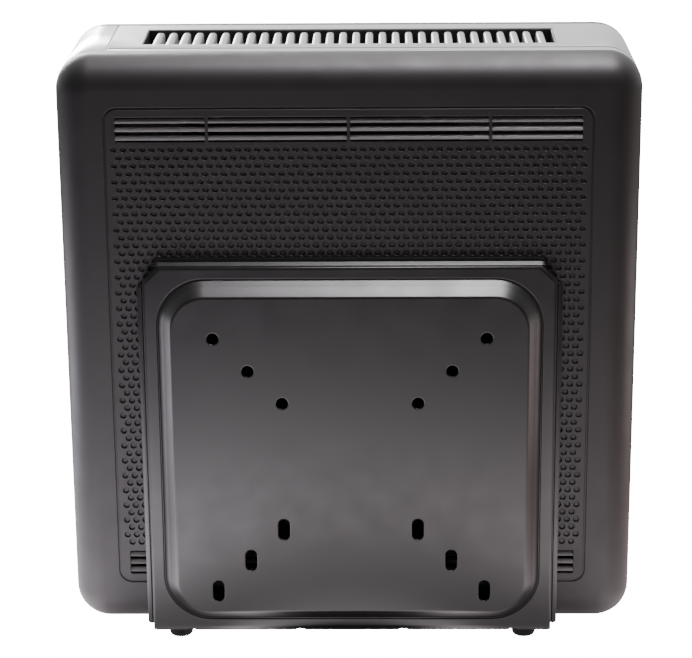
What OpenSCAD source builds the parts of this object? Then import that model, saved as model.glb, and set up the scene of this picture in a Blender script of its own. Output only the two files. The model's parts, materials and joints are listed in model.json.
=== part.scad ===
// Small desktop computer, standing on edge on a steel VESA wall bracket.
// +Z up, origin on the floor under the middle. -Y is the bracket side, -X the front, +X the rear.

/* [Case] */
// Width of the case from the front edge to the rear edge
case_w = 212; // [212:1:216]
// Height of the case standing on edge
case_h = 220; // [220:1:224]
// Depth of the case from one side cover to the other
case_d = 77; // [77:1:80]
// Depth of each pillow-shaped side cover
cover_d = 13.5; // [13:0.5:14]
// Corner radius of the case outline
corner_r = 13; // [12.5:0.5:15]
// Radius of the soft edge around each side cover
edge_r = 11.5; // [9:0.5:12]
// Wall thickness of the plastic covers and of the band
skin = 2; // [1.8:0.1:2.2]
// Length of the front bezel, from the front to the seam in the band
bezel_len = 18; // [16:1:20]

/* [Side covers] */
// Half width of the outline groove in a cover face
groove_x = 88; // [86:0.5:89]
// Half height of the outline groove in a cover face
groove_z = 92; // [91:0.5:93]
// Half length of a louvre window
louvre_x = 84; // [80:0.5:85]
// Height of a louvre bar
louvre_bar = 1.45; // [1.2:0.05:1.6]
// Distance from one louvre bar to the next
louvre_pitch = 3.13; // [2.9:0.01:3.2]
// Height of a whole louvre window
louvre_h = 9.2; // [8.6:0.1:9.4]

/* [Top vent] */
// Number of slots in the top vent
vent_slots = 31; // [25:1:31]
// Distance from one vent slot to the next
vent_pitch = 4.9; // [4.5:0.1:4.9]
// Width of a vent slot
vent_slot_w = 2.1; // [2:0.1:3.2]
// Length of a vent slot across the band
vent_len = 28; // [20:1:30]
// Offset of the vent from the band's middle, away from the bracket
vent_shift = 1.9; // [0:0.1:3]

/* [VESA bracket] */
// Width of the bracket over its side lips
bracket_w = 156; // [152:1:160]
// Height of the bracket's plate above the floor
bracket_top = 149.6; // [148:0.2:152]
// Thickness of the bracket's steel sheet
sheet = 1.2; // [1:0.1:1.2]
// Height of the emboss above the plate's rim
emboss = 5.5; // [4:0.5:6]
// Distance from the case to the front of the plate's rim
stand_off = 5; // [4.5:0.5:6]
// Height of the middle of the hole patterns above the floor
vesa_z = 74; // [73:0.5:75]
// Diameter of the mounting holes, and width of the slots
vesa_hole_d = 4.4; // [4.2:0.1:5]
// Length of the mounting slots
vesa_slot_len = 8.4; // [7:0.1:9]

/* [Feet] */
// Diameter of a rubber foot
foot_d = 9; // [8:0.5:10]
// Height of a rubber foot
foot_h = 4.3; // [4.2:0.1:5]

/* [Front panel] */
// Diameter of the power button's cap
button_d = 13.4; // [12:0.2:13.6]
// Travel of the power button
button_travel = 1.2; // [0.8:0.1:1.3]

/* [Cooler] */
// Number of fan blades
fan_blades = 9; // [7:1:9]

/* [Hidden] */
$fn = 48;
cut = 1;                       // how far a cutter runs past a face
gap = 0.3;                     // clearance between pieces that don't touch
VESA = [50, 75, 100];          // spacings of the square hole patterns

// depths along Y
y_front = -(case_d + stand_off + emboss) / 2;
y_rim = y_front + emboss;      // front of the bracket's rim
y_near = y_rim + stand_off;    // face of the cover behind the bracket
y_far = y_near + case_d;       // face of the access cover
y_band0 = y_near + cover_d;
y_band1 = y_far - cover_d;
y_mid = (y_band0 + y_band1) / 2;
// heights along Z
z_case = foot_h + sheet;       // underside of the case
z_mid = z_case + case_h / 2;
x_seam = -case_w / 2 + bezel_len;

// steel frame inside the band
steel = 1;
frame_x = case_w / 2 - skin - gap;
frame_z = case_h / 2 - skin - gap;
frame_r = corner_r - skin - gap;
y_tray = y_band0 + steel;      // face of the tray that carries the mainboard
y_frame1 = y_band1 - 0.75;

// snap tabs of the side covers
TABS_X = [-70, 0, 70];
tab = 1.6;
tab_w = 12;
tab_z = frame_z - steel - gap - tab / 2;
ledge = case_h / 2 - skin + 0.4 - tab_z;

// louvre windows
louvre_bars = 3;
louvre_z = 84.2;               // middle of a window from the cover's middle
louvre_split = 51;             // distance of the outer dividers from the middle
divider_w = 1.2;

// bracket
emboss_w = 140;
emboss_h = 133.6;
emboss_z = 77.6;
emboss_slope = 4.7;            // width of the emboss's sloping edge
bracket_chamfer = 5.5;
lip = 2.4;                     // how far the lips on the cover stand out past the flanges
plate_w = bracket_w - 2 * lip;
base_y1 = 38;                  // rear edge of the foot plate under the case
bend_r = 4;                    // outer radius of the bend from the plate to the foot plate
notch_w = 3;                   // relief notches in that bend
notch_h = 1;
NOTCHES = [-61.5, -19.6, 19.6, 61.5];
FEET = [for (x = [-1, 1]) for (y = [-29.5, 31.5]) [65.8 * x, y]];
BRACKET_SCREWS = [[-40, 5], [40, 5]];
m4_clear = 4.4;
FRAME_SCREWS = [[-90.4, -1], [90.4, -1], [-90.4, 1], [90.4, 1]];

// mainboard
board = 170;
board_t = 1.6;
board_x1 = 101;                // rear edge
board_x0 = board_x1 - board;
board_z = 118;                 // middle
standoff_h = 4.45;
y_pcb0 = y_tray + standoff_h;
y_pcb = y_pcb0 + board_t;      // component side
hole_inset = 6.4;
BOARD_HOLES = [for (x = [board_x0 + hole_inset, board_x1 - hole_inset])
               for (z = [-1, 1]) [x, board_z + z * (board / 2 - hole_inset)]];
m3_shaft = 2.9;
m3_bore = 3.1;

// rear connectors
io_w = 158.75;                 // standard rear opening, along Z
io_h = 44.45;                  // standard rear opening, along Y
io_y = y_tray + 2.6 + io_h / 2;
io_face = 104.5;               // outer face of the connectors
lan_z = 72.5;
usb_z = 95.5;
hdmi_z = 119.75;
dp_z = 142;
audio_z = 50.5;
audio_step = 10.6;             // from one audio jack to the next
audio_half = 6.5;              // half width of a jack's housing
audio_d = 8.6;                 // jack's collar and its plug hole
plug_d = 3.6;
function audio_y(k) = y_pcb + audio_step * (k + 0.5) + 0.2;
usb_w = 13.2;
usb_h = 5.8;
stack = 15.6;                  // height of a double USB block
DC = [5, 25];                  // DC jack's axis: Y and Z

// cooler
fan_w = 92;                    // standard fan: edge and thickness of its frame
fan_t = 15;
cpu_x = 22;
cpu_z = 120;
y_cpu = y_pcb + 5.7;           // top of the processor
y_fins = y_cpu + 4;
y_fan0 = 20;
y_fan1 = y_fan0 + fan_t;
cooler_bolt = 37.5;
fan_bolt = 41.25;
shaft_d = 3;
shaft_gap = 0.05;

// front panel
panel_y = y_mid;
panel_w = 38;
panel_h = 190;
x_front = -case_w / 2;
x_wall = x_front + skin;
button_z = 196;
FRONT_USB_Z = [166, 146];
FRONT_AUDIO_Z = [126, 112];
LIGHT_Z = [178, 182.5];
x_ioboard = -90;               // front face of the front connector board
post_d = 5;
POSTS_Z = [96, 207.5];

// parts on the mainboard
POWER_AT = [-62.7, 88];        // X and Z of the board's power socket
power_h = 12.8;                // height of the power sockets
SATA_Z = [124, 143];
HEADERS_Z = [162, 180];
pin_step = 2.54;
BATTERY = [88, 176];
POWER_POSTS = [-46, 68];       // X of the power board's posts
power_z = 21;                  // middle of the power board
slot_z0 = 41.3;                // expansion slot's groove
slot_z1 = 43.2;

// drive, behind the tray
drive_screw_x = 38;
ssd_x = -10;
ssd_z = 165;
ssd_l = 100.2;
ssd_w = 69.85;
ssd_t = 7;

// ---------- shared shapes ----------

// rectangle with round corners, centred
module rounded(w, h, r) {
    square([w - 2 * r, h], center = true);
    square([w, h - 2 * r], center = true);
    for (x = [-1, 1]) for (y = [-1, 1]) translate([x * (w / 2 - r), y * (h / 2 - r)]) circle(r);
}

// stands an XY outline up in the XZ plane at depth y; its thickness grows towards -Y
module upright(y) { translate([0, y, 0]) rotate([90, 0, 0]) children(); }

// slab between two depths, drawn as an outline in X and Z
module between(y0, y1) { upright(y1) linear_extrude(y1 - y0) children(); }

// box from its lowest and highest corners
module span(a, b) { translate(a) cube(b - a); }

// cylinder along Y
module rod_y(x, z, y0, y1, d) { translate([x, y1, z]) rotate([90, 0, 0]) cylinder(d = d, h = y1 - y0); }

// cylinder along X
module rod_x(y, z, x0, x1, d) { translate([x0, y, z]) rotate([0, 90, 0]) cylinder(d = d, h = x1 - x0); }

// closed round tube through a list of points
function direction(p, i) =
    let (d = p[min(i + 1, len(p) - 1)] - p[max(i - 1, 0)]) d / norm(d);
module cable(p, d, sides = 8) {
    rings = [for (i = [0:len(p) - 1])
        let (t = direction(p, i), u0 = abs(t.y) < 0.9 ? [0, 1, 0] : [1, 0, 0],
             u1 = cross(t, u0), u = u1 / norm(u1), v = cross(t, u))
        for (k = [0:sides - 1]) p[i] + d / 2 * (u * cos(360 * k / sides) + v * sin(360 * k / sides))];
    last = (len(p) - 1) * sides;
    polyhedron(rings, concat(
        [[for (k = [0:sides - 1]) k]],
        [for (i = [0:len(p) - 2]) for (k = [0:sides - 1])
            let (a = i * sides + k, b = i * sides + (k + 1) % sides) [a, a + sides, b + sides, b]],
        [[for (k = [sides - 1:-1:0]) last + k]]));
}

// point on a smooth curve through the route's points
function bend(p, n = 4) =
    [for (i = [0:len(p) - 2]) for (k = [0:n - 1])
        let (a = p[max(i - 1, 0)], b = p[i], c = p[i + 1], e = p[min(i + 2, len(p) - 1)], t = k / n)
        0.5 * (2 * b + (c - a) * t + (2 * a - 5 * b + 4 * c - e) * t * t
               + (3 * b - 3 * c + e - a) * t * t * t), p[len(p) - 1]];

// ---------- case ----------

// pillow-shaped slab: flat at depth 0, soft edge up to depth d
module pillow(w, h, d, r, e) {
    steps = 10;
    hull() for (x = [-1, 1]) for (y = [-1, 1])
        translate([x * (w / 2 - r), y * (h / 2 - r)]) rotate_extrude($fn = 40)
            polygon(concat([[0, 0], [r, 0]],
                [for (i = [0:steps]) [r - e + e * cos(90 * i / steps), d - e + e * sin(90 * i / steps)]],
                [[0, d]]));
}

// one louvre window on the side given by s: open slots above, between and below its bars
module louvre_slots(s) {
    edges = [-louvre_x, -louvre_split, 0, louvre_split, louvre_x];
    half = (louvre_bars - 1) / 2;
    for (i = [0:3]) for (k = [0:louvre_bars]) {
        low = k == 0 ? -louvre_h / 2 : (k - 1 - half) * louvre_pitch + louvre_bar / 2;
        high = k == louvre_bars ? louvre_h / 2 : (k - half) * louvre_pitch - louvre_bar / 2;
        translate([edges[i] + divider_w / 2, s * louvre_z + low, 0])
            cube([edges[i + 1] - edges[i] - divider_w, high - low, cover_d + cut]);
    }
}

// side cover, its open side at depth 0 and its face at cover_d
module side_cover() {
    groove = 0.8;
    difference() {
        pillow(case_w, case_h, cover_d, corner_r, edge_r);
        translate([0, 0, -0.01])
            pillow(case_w - 2 * skin, case_h - 2 * skin, cover_d - skin, corner_r - skin, edge_r - skin);
        translate([0, 0, cover_d - 0.5]) linear_extrude(cut) difference() {
            rounded(2 * groove_x + groove, 2 * groove_z + groove, 5);
            rounded(2 * groove_x - groove, 2 * groove_z - groove, 4.2);
        }
        louvre_slots(1);
        louvre_slots(-1);
    }
    // snap tabs that reach into the steel frame, each on a short ledge from the cover's wall
    for (x = TABS_X) for (s = [-1, 1]) {
        translate([x - tab_w / 2, s * tab_z - tab / 2, -5]) cube([tab_w, tab, 8]);
        translate([x - tab_w / 2, s * (tab_z + ledge / 2) - ledge / 2, 0.2]) cube([tab_w, ledge, 2.8]);
    }
}

module vesa_side_cover() {
    color([0.13, 0.13, 0.14]) translate([0, y_band0, z_mid]) rotate([90, 0, 0]) side_cover();
}

module access_side_cover() {
    color([0.13, 0.13, 0.14]) translate([0, y_band1, z_mid]) mirror([0, 1, 0]) rotate([90, 0, 0])
        side_cover();
}

// full ring of the band, before it is split at the seam
module band_ring() {
    translate([0, 0, z_mid]) between(y_band0, y_band1) difference() {
        rounded(case_w, case_h, corner_r);
        rounded(case_w - 2 * skin, case_h - 2 * skin, corner_r - skin);
    }
}

module case_band() {
    vent_w = vent_slots * vent_pitch;
    vent_y = y_mid + vent_shift - vent_len / 2;
    z_top = z_case + case_h;
    color([0.74, 0.74, 0.75]) difference() {
        band_ring();
        span([x_front - cut, y_band0 - cut, 0], [x_seam, y_band1 + cut, z_top + cut]);
        // top vent: recessed fins with open slots between them
        span([-vent_w / 2, vent_y, z_top - 0.9], [vent_w / 2, vent_y + vent_len, z_top + cut]);
        for (i = [0:vent_slots - 1])
            translate([(i - (vent_slots - 1) / 2) * vent_pitch - vent_slot_w / 2,
                       vent_y, z_top - skin - cut])
                cube([vent_slot_w, vent_len, skin + 2 * cut]);
        // rear opening for the connectors, and the DC jack's recess
        io_block(frame_x - cut, case_w / 2 + cut, 1, 1.5);
        rod_x(DC[0], DC[1], frame_x - cut, case_w / 2 + cut, 13);
        for (p = FRAME_SCREWS) frame_screw_at(p) translate([0, 0, -2.6]) cylinder(d = m3_bore, h = 3);
        for (p = BRACKET_SCREWS) translate([p[0], p[1], z_case - cut]) cylinder(d = m4_clear, h = 4);
    }
}

module front_bezel() {
    color([0.80, 0.80, 0.81]) difference() {
        band_ring();
        span([x_seam, y_band0 - cut, 0], [case_w, y_band1 + cut, z_case + case_h + cut]);
        span([x_front - cut, panel_y - panel_w / 2, z_mid - panel_h / 2],
             [x_wall + cut, panel_y + panel_w / 2, z_mid + panel_h / 2]);
        for (p = FRAME_SCREWS) frame_screw_at(p) translate([0, 0, -2.6]) cylinder(d = m3_bore, h = 3);
    }
}

// glossy insert in the front bezel, with a rim behind the bezel's wall
module front_panel_insert() {
    fit = 0.15;
    rim = 2;
    usb = [7.2, 14.6];
    color([0.03, 0.03, 0.035]) difference() {
        union() {
            span([x_front, panel_y - panel_w / 2 + fit, z_mid - panel_h / 2 + fit],
                 [x_wall, panel_y + panel_w / 2 - fit, z_mid + panel_h / 2 - fit]);
            span([x_wall, panel_y - panel_w / 2 - rim, z_mid - panel_h / 2 - rim],
                 [x_wall + 1, panel_y + panel_w / 2 + rim, z_mid + panel_h / 2 + rim]);
            for (z = POSTS_Z) rod_x(panel_y, z, x_wall + 0.5, x_ioboard, post_d);
        }
        rod_x(panel_y, button_z, x_front - cut, x_wall + 2, button_d + 2 * gap);
        for (z = FRONT_USB_Z)
            span([x_front - cut, panel_y - usb[1] / 2, z - usb[0] / 2], [x_wall + 2, panel_y + usb[1] / 2,
                 z + usb[0] / 2]);
        for (z = FRONT_AUDIO_Z) rod_x(panel_y, z, x_front - cut, x_wall + 2, 7);
        for (z = LIGHT_Z) rod_x(panel_y, z, x_front - cut, x_wall + 2, 2.2);
        for (z = POSTS_Z) rod_x(panel_y, z, x_ioboard - 7, x_ioboard + cut, m3_bore - 0.6);
    }
}

// cap with a retaining collar behind the panel, and a stem over the switch
module power_button() {
    back = x_wall + 1 + gap;
    color([0.62, 0.63, 0.65]) {
        difference() {
            rod_x(panel_y, button_z, x_front + 0.2, back + 1, button_d);
            rod_x(panel_y, button_z, x_front - cut, x_front + 0.7, button_d - 4);
        }
        difference() {
            rod_x(panel_y, button_z, back, back + 1.2, button_d + 3);
            rod_x(panel_y, button_z, back - cut, back + 0.4, button_d - 1);
        }
        rod_x(panel_y, button_z, back + 0.5, x_ioboard - 3.5 - button_travel - gap, 5);
    }
}

module status_light_pipes() {
    color([0.85, 0.92, 1]) for (z = LIGHT_Z) {
        rod_x(panel_y, z, x_front + 0.1, x_wall + 2, 2);
        rod_x(panel_y, z, x_wall + 1, x_ioboard - 1, 2.6);
    }
}

// small board that stands behind the front panel
module front_io_board() {
    color([0.05, 0.25, 0.14]) difference() {
        span([x_ioboard, panel_y - 13, 90], [x_ioboard + 1.6, panel_y + 13, 212]);
        for (z = POSTS_Z) rod_x(panel_y, z, x_ioboard - cut, x_ioboard + 3, m3_bore - 0.4);
    }
}

// receptacle shell along X with its contact tongue; mouth at x0, back at x1
module usb_port(y, z, x0, x1, along_y) {
    w = along_y ? [usb_w, usb_h] : [usb_h, usb_w];
    wall = 0.4;
    translate([0, y, z]) {
        difference() {
            span([min(x0, x1), -w[0] / 2, -w[1] / 2], [max(x0, x1), w[0] / 2, w[1] / 2]);
            span([min(x0 - (x0 < x1 ? cut : 0), x1 + (x0 < x1 ? -2 : 2)), -w[0] / 2 + wall, -w[1] / 2 + wall],
                 [max(x0 + (x0 > x1 ? cut : 0), x1 + (x0 < x1 ? -2 : 2)), w[0] / 2 - wall, w[1] / 2 - wall]);
        }
        tongue = along_y ? [[-5.2, 0.3], [5.2, 2.1]] : [[-2.1, -5.2], [-0.3, 5.2]];
        lip = x0 < x1 ? x0 + 1 : x0 - 1;
        back = x0 < x1 ? x1 - 1 : x1 + 1;
        span([min(lip, back), tongue[0][0], tongue[0][1]], [max(lip, back), tongue[1][0], tongue[1][1]]);
    }
}

module front_usb_ports() {
    color([0.72, 0.73, 0.75]) for (z = FRONT_USB_Z) usb_port(panel_y, z, x_front + 0.6, x_ioboard, true);
}

module front_audio_jacks() {
    color([0.06, 0.06, 0.06]) for (z = FRONT_AUDIO_Z) difference() {
        union() {
            rod_x(panel_y, z, x_front + 0.4, x_wall + 1.5, 6.4);
            span([x_wall + 1.2, panel_y - 5, z - 5], [x_ioboard, panel_y + 5, z + 5]);
        }
        rod_x(panel_y, z, x_front - cut, x_ioboard - 1, plug_d);
    }
}

// push switch under the power button
module power_switch() {
    color([0.1, 0.1, 0.1]) {
        span([x_ioboard - 2.5, panel_y - 3, button_z - 3], [x_ioboard, panel_y + 3, button_z + 3]);
        rod_x(panel_y, button_z, x_ioboard - 3.5, x_ioboard - 2, 3.4);
    }
}

module front_board_screws() {
    color([0.6, 0.6, 0.62]) for (z = POSTS_Z) {
        rod_x(panel_y, z, x_ioboard - 5, x_ioboard + 2, m3_bore - 0.8);
        rod_x(panel_y, z, x_ioboard + 1.6, x_ioboard + 3.2, 5);
    }
}

// ---------- steel frame ----------

module chassis_frame() {
    cable_ports = [[-86, board_z + 15], [-86, board_z - 55]];
    cpu_window = 42;
    color([0.55, 0.56, 0.58]) difference() {
        union() {
            translate([0, 0, z_mid]) difference() {
                between(y_band0, y_frame1) rounded(2 * frame_x, 2 * frame_z, frame_r);
                between(y_tray, y_frame1 + cut)
                    rounded(2 * frame_x - 2 * steel, 2 * frame_z - 2 * steel, frame_r - steel);
            }
            // pressed-in nuts for the bracket's screws
            for (p = BRACKET_SCREWS)
                translate([p[0], p[1], z_case + skin + gap + 0.5]) cylinder(d = 7, h = 2.5);
        }
        // openings: top vent, rear connectors, DC jack, front panel, behind the processor, cables
        span([-78, y_mid - 17, z_mid], [78, y_mid + 17, z_case + case_h]);
        io_block(0, case_w, 0, 0);
        rod_x(DC[0], DC[1], 90, case_w, 8.2);
        span([-case_w, panel_y - panel_w / 2 - 3, z_mid - panel_h / 2 - 3],
             [-frame_x + steel + cut, panel_y + panel_w / 2 + 3, z_mid + panel_h / 2 + 3]);
        span([cpu_x - cpu_window, y_band0 - cut, cpu_z - cpu_window],
             [cpu_x + cpu_window, y_tray + cut, cpu_z + cpu_window]);
        for (p = cable_ports) between(y_band0 - cut, y_tray + cut)
            translate([p[0], p[1]]) rounded(14, 30, 5);
        for (x = TABS_X) for (s = [-1, 1])
            span([x - tab_w / 2 - 0.5, y_band0 - cut, z_mid + s * tab_z - tab / 2 - 0.5],
                 [x + tab_w / 2 + 0.5, y_tray + cut, z_mid + s * tab_z + tab / 2 + 0.5]);
        for (p = BRACKET_SCREWS) translate([p[0], p[1], z_case - cut]) cylinder(d = m4_clear, h = 8);
        for (p = FRAME_SCREWS) frame_screw_at(p) translate([0, 0, -4]) cylinder(d = 3.3, h = 6);
    }
}

// puts an outward-pointing screw axis at the frame's inner face: p is [x, +1 top or -1 bottom]
module frame_screw_at(p) {
    translate([p[0], y_mid, z_mid + p[1] * (frame_z - steel)]) rotate([p[1] > 0 ? 180 : 0, 0, 0]) children();
}

// screws from inside the frame into the bezel and the band
module frame_screws() {
    color([0.3, 0.3, 0.32]) for (p = FRAME_SCREWS) frame_screw_at(p) {
        cylinder(d = 5, h = 2);
        translate([0, 0, -2.4]) cylinder(d = m3_shaft, h = 3);
    }
}

module board_standoffs() {
    color([0.80, 0.68, 0.38]) for (p = BOARD_HOLES) difference() {
        translate([p[0], y_pcb0, p[1]]) rotate([90, 0, 0]) cylinder(d = 6.4, h = standoff_h, $fn = 6);
        rod_y(p[0], p[1], y_tray - cut, y_pcb0 + cut, m3_bore);
    }
}

module board_screws() {
    color([0.7, 0.7, 0.72]) for (p = BOARD_HOLES) {
        rod_y(p[0], p[1], y_tray + 0.6, y_pcb + 0.5, m3_shaft);
        difference() {
            rod_y(p[0], p[1], y_pcb, y_pcb + 2, 5.6);
            span([p[0] - 2.2, y_pcb + 1.2, p[1] - 0.4], [p[0] + 2.2, y_pcb + 3, p[1] + 0.4]);
            span([p[0] - 0.4, y_pcb + 1.2, p[1] - 2.2], [p[0] + 0.4, y_pcb + 3, p[1] + 2.2]);
        }
    }
}

// ---------- mainboard ----------

module mainboard() {
    color([0.06, 0.09, 0.08]) difference() {
        span([board_x0, y_pcb0, board_z - board / 2], [board_x1, y_pcb, board_z + board / 2]);
        for (p = BOARD_HOLES) rod_y(p[0], p[1], y_pcb0 - cut, y_pcb + cut, 3.8);
        for (x = [-1, 1]) for (z = [-1, 1])
            rod_y(cpu_x + x * cooler_bolt, cpu_z + z * cooler_bolt, y_pcb0 - cut, y_pcb + cut, 4);
    }
}

// block in the rear opening's outline, grown by gy across and gz along it
module io_block(x0, x1, gy, gz) {
    span([x0, io_y - io_h / 2 - gy, board_z - io_w / 2 - gz],
         [x1, io_y + io_h / 2 + gy, board_z + io_w / 2 + gz]);
}

// spring-steel plate around the rear connectors
module io_shield() {
    t = 0.6;
    fit = 0.15;
    clear = 0.4;
    wall = 1;
    flange = 1.5;
    x0 = frame_x - steel - t;
    color([0.72, 0.73, 0.75]) difference() {
        union() {
            io_block(frame_x - t, frame_x, -fit, -fit);
            difference() {
                union() {
                    io_block(x0, frame_x - steel, 0.8, flange);
                    io_block(x0, frame_x, -fit, -fit);
                }
                io_block(0, frame_x - t, -wall, -wall);
            }
        }
        span([0, y_pcb - cut, lan_z - 8.5 - clear],
             [case_w, y_pcb + stack + 14.5 + clear, lan_z + 8.5 + clear]);
        span([0, y_pcb - cut, usb_z - 7.5 - clear], [case_w, y_pcb + stack + clear, usb_z + 7.5 + clear]);
        span([0, y_pcb - cut, hdmi_z - 7.75 - clear], [case_w, y_pcb + 6.5 + clear, hdmi_z + 7.75 + clear]);
        span([0, y_pcb - cut, dp_z - 8.5 - clear], [case_w, y_pcb + 6.5 + clear, dp_z + 8.5 + clear]);
        for (k = [0:2]) rod_x(audio_y(k), audio_z, board_x1 - 11, case_w, audio_d + 0.4 + 2 * clear);
        for (i = [0:7]) for (k = [0:6]) rod_x(y_pcb + 5 + 4.4 * k, 161 + 4.4 * i, 90, case_w, 3, $fn = 16);
    }
}

module rear_usb_ports() {
    x0 = board_x1 - 17;
    color([0.72, 0.73, 0.75]) for (z = [lan_z, usb_z]) for (k = [0, 1]) {
        usb_port(y_pcb + 4 + 7.8 * k, z, io_face, x0, false);
    }
    color([0.72, 0.73, 0.75]) for (z = [lan_z, usb_z])
        span([x0 - 2, y_pcb, z - 7], [x0 + 0.5, y_pcb + stack, z + 7]);
}

module lan_jack() {
    y0 = y_pcb + stack;
    x0 = board_x1 - 18;
    color([0.72, 0.73, 0.75]) difference() {
        span([x0, y0, lan_z - 8.2], [io_face, y0 + 14, lan_z + 8.2]);
        span([io_face - 13, y0 + 2.6, lan_z - 5.9], [case_w, y0 + 10.4, lan_z + 5.9]);
        span([io_face - 13, y0 + 10, lan_z - 3.2], [case_w, y0 + 12.2, lan_z + 3.2]);
    }
}

// port shell along X with a tongue, low on the board
module flat_port(z, w, h, x0) {
    wall = 0.5;
    difference() {
        span([x0, y_pcb, z - w / 2], [io_face, y_pcb + h, z + w / 2]);
        span([x0 + 1.5, y_pcb + wall, z - w / 2 + wall], [case_w, y_pcb + h - wall, z + w / 2 - wall]);
    }
    span([x0 + 1, y_pcb + h / 2 - 0.4, z - w / 2 + 2], [io_face - 1, y_pcb + h / 2 + 0.4, z + w / 2 - 2]);
}

module video_ports() {
    color([0.72, 0.73, 0.75]) {
        flat_port(hdmi_z, 15, 6, board_x1 - 11);
        flat_port(dp_z, 16.5, 6, board_x1 - 14);
    }
}

// three stacked jack housings, each with its own socket
module rear_audio_jacks() {
    seam = 0.1;
    housing_l = 23;
    color([0.1, 0.1, 0.1]) for (k = [0:2]) {
        y = audio_y(k);
        difference() {
            union() {
                span([board_x1 - housing_l, k == 0 ? y_pcb : y - audio_step / 2 + seam, audio_z - audio_half],
                     [board_x1, y + audio_step / 2, audio_z + audio_half]);
                rod_x(y, audio_z, board_x1 - cut, io_face, audio_d);
            }
            rod_x(y, audio_z, io_face - 14, case_w, plug_d);
        }
    }
}

// ---------- processor and cooler ----------

module cpu_socket() {
    w = 53;
    color([0.55, 0.55, 0.57]) difference() {
        between(y_pcb, y_pcb + 4.3) translate([cpu_x, cpu_z]) rounded(w, w, 3);
        span([cpu_x - 19, y_pcb + 1.5, cpu_z - 19], [cpu_x + 19, y_pcb + 3.3, cpu_z + 19]);
        span([cpu_x - 17, y_pcb + 3, cpu_z - 17], [cpu_x + 17, y_pcb + 6, cpu_z + 17]);
    }
}

module cpu() {
    color([0.75, 0.76, 0.78]) {
        span([cpu_x - 18.7, y_pcb + 1.5, cpu_z - 18.7], [cpu_x + 18.7, y_pcb + 2.8, cpu_z + 18.7]);
        span([cpu_x - 16, y_pcb + 2.7, cpu_z - 16], [cpu_x + 16, y_cpu, cpu_z + 16]);
    }
}

module heatsink() {
    w = fan_w;
    fin_t = 0.8;
    fins = 31;
    pitch = (w - fin_t) / (fins - 1);
    color([0.78, 0.79, 0.80]) difference() {
        union() {
            between(y_cpu, y_fins) translate([cpu_x, cpu_z]) rounded(84, w, 5);
            for (i = [0:fins - 1])
                span([cpu_x - w / 2, y_fins - 0.5, cpu_z - w / 2 + i * pitch],
                     [cpu_x + w / 2, y_fan0, cpu_z - w / 2 + i * pitch + fin_t]);
        }
        for (x = [-1, 1]) for (z = [-1, 1])
            rod_y(cpu_x + x * cooler_bolt, cpu_z + z * cooler_bolt, y_cpu - cut, y_cpu + 3.2, m3_bore);
        for (z = [-1, 1]) for (x = [-1, 1])
            span([cpu_x + x * fan_bolt - 2.5, y_fan0 - 7, cpu_z + z * fan_bolt - 2.5],
                 [cpu_x + x * fan_bolt + 2.5, y_fan0 + cut, cpu_z + z * fan_bolt + 2.5]);
    }
}

// screws from behind the board into the heat sink's base
module cooler_screws() {
    color([0.25, 0.25, 0.27]) for (x = [-1, 1]) for (z = [-1, 1]) {
        rod_y(cpu_x + x * cooler_bolt, cpu_z + z * cooler_bolt, y_pcb0 - 1, y_cpu + 3, m3_shaft);
        rod_y(cpu_x + x * cooler_bolt, cpu_z + z * cooler_bolt, y_pcb0 - 2.2, y_pcb0, 6);
    }
}

// square frame, four spokes to the motor plate, and the bearing sleeve, all drawn as outlines
module fan_frame() {
    bore = fan_w - 4;
    spoke_t = 2.5;
    floor_t = 1;
    color([0.08, 0.08, 0.085]) translate([0, 0, cpu_z]) {
        between(y_fan0, y_fan1) translate([cpu_x, 0]) difference() {
            rounded(fan_w, fan_w, 4);
            circle(d = bore);
            for (x = [-1, 1]) for (z = [-1, 1]) translate([x * fan_bolt, z * fan_bolt]) circle(d = 4.3);
        }
        between(y_fan0, y_fan0 + spoke_t) translate([cpu_x, 0]) difference() {
            union() {
                circle(d = 36);
                for (a = [20:90:290]) rotate(a) translate([10, -1.5]) square([bore / 2 - 9, 3]);
            }
            circle(d = 7);
        }
        between(y_fan0 + floor_t, y_fan0 + 10) translate([cpu_x, 0]) difference() {
            circle(d = 8);
            circle(d = shaft_d + 2 * shaft_gap);
        }
        between(y_fan0, y_fan0 + floor_t) translate([cpu_x, 0]) circle(d = 7.5);
    }
}

module fan_rotor() {
    hub_d = 34;
    tip_d = fan_w - 6;
    blade_t = 1.3;
    blade_tilt = 42;
    y0 = y_fan0 + 3.4;
    y1 = y_fan1 - 0.8;
    color([0.10, 0.10, 0.105]) {
        difference() {
            rod_y(cpu_x, cpu_z, y0, y1, hub_d);
            rod_y(cpu_x, cpu_z, y0 - cut, y1 - 1.8, hub_d - 4);
        }
        rod_y(cpu_x, cpu_z, y_fan0 + 1.5, y1 - 1, shaft_d);
        intersection() {
            difference() {
                rod_y(cpu_x, cpu_z, y0, y1, tip_d);
                rod_y(cpu_x, cpu_z, y0 - cut, y1 + cut, hub_d - 1);
            }
            for (i = [0:fan_blades - 1])
                translate([cpu_x, (y0 + y1) / 2, cpu_z]) rotate([0, 360 * i / fan_blades, 0])
                    translate([tip_d / 4 + 8, 0, 0]) rotate([blade_tilt, 0, 0])
                        cube([tip_d / 2, blade_t, 17], center = true);
        }
    }
}

module fan_screws() {
    color([0.2, 0.2, 0.2]) for (x = [-1, 1]) for (z = [-1, 1]) {
        rod_y(cpu_x + x * fan_bolt, cpu_z + z * fan_bolt, y_fan0 - 5, y_fan1 + 0.5, 3.7);
        rod_y(cpu_x + x * fan_bolt, cpu_z + z * fan_bolt, y_fan1, y_fan1 + 2, 6.4);
    }
}

// ---------- parts on the mainboard ----------

DIMM_X = [-53.4, -43.9];
dimm_len = 133.35;

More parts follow.
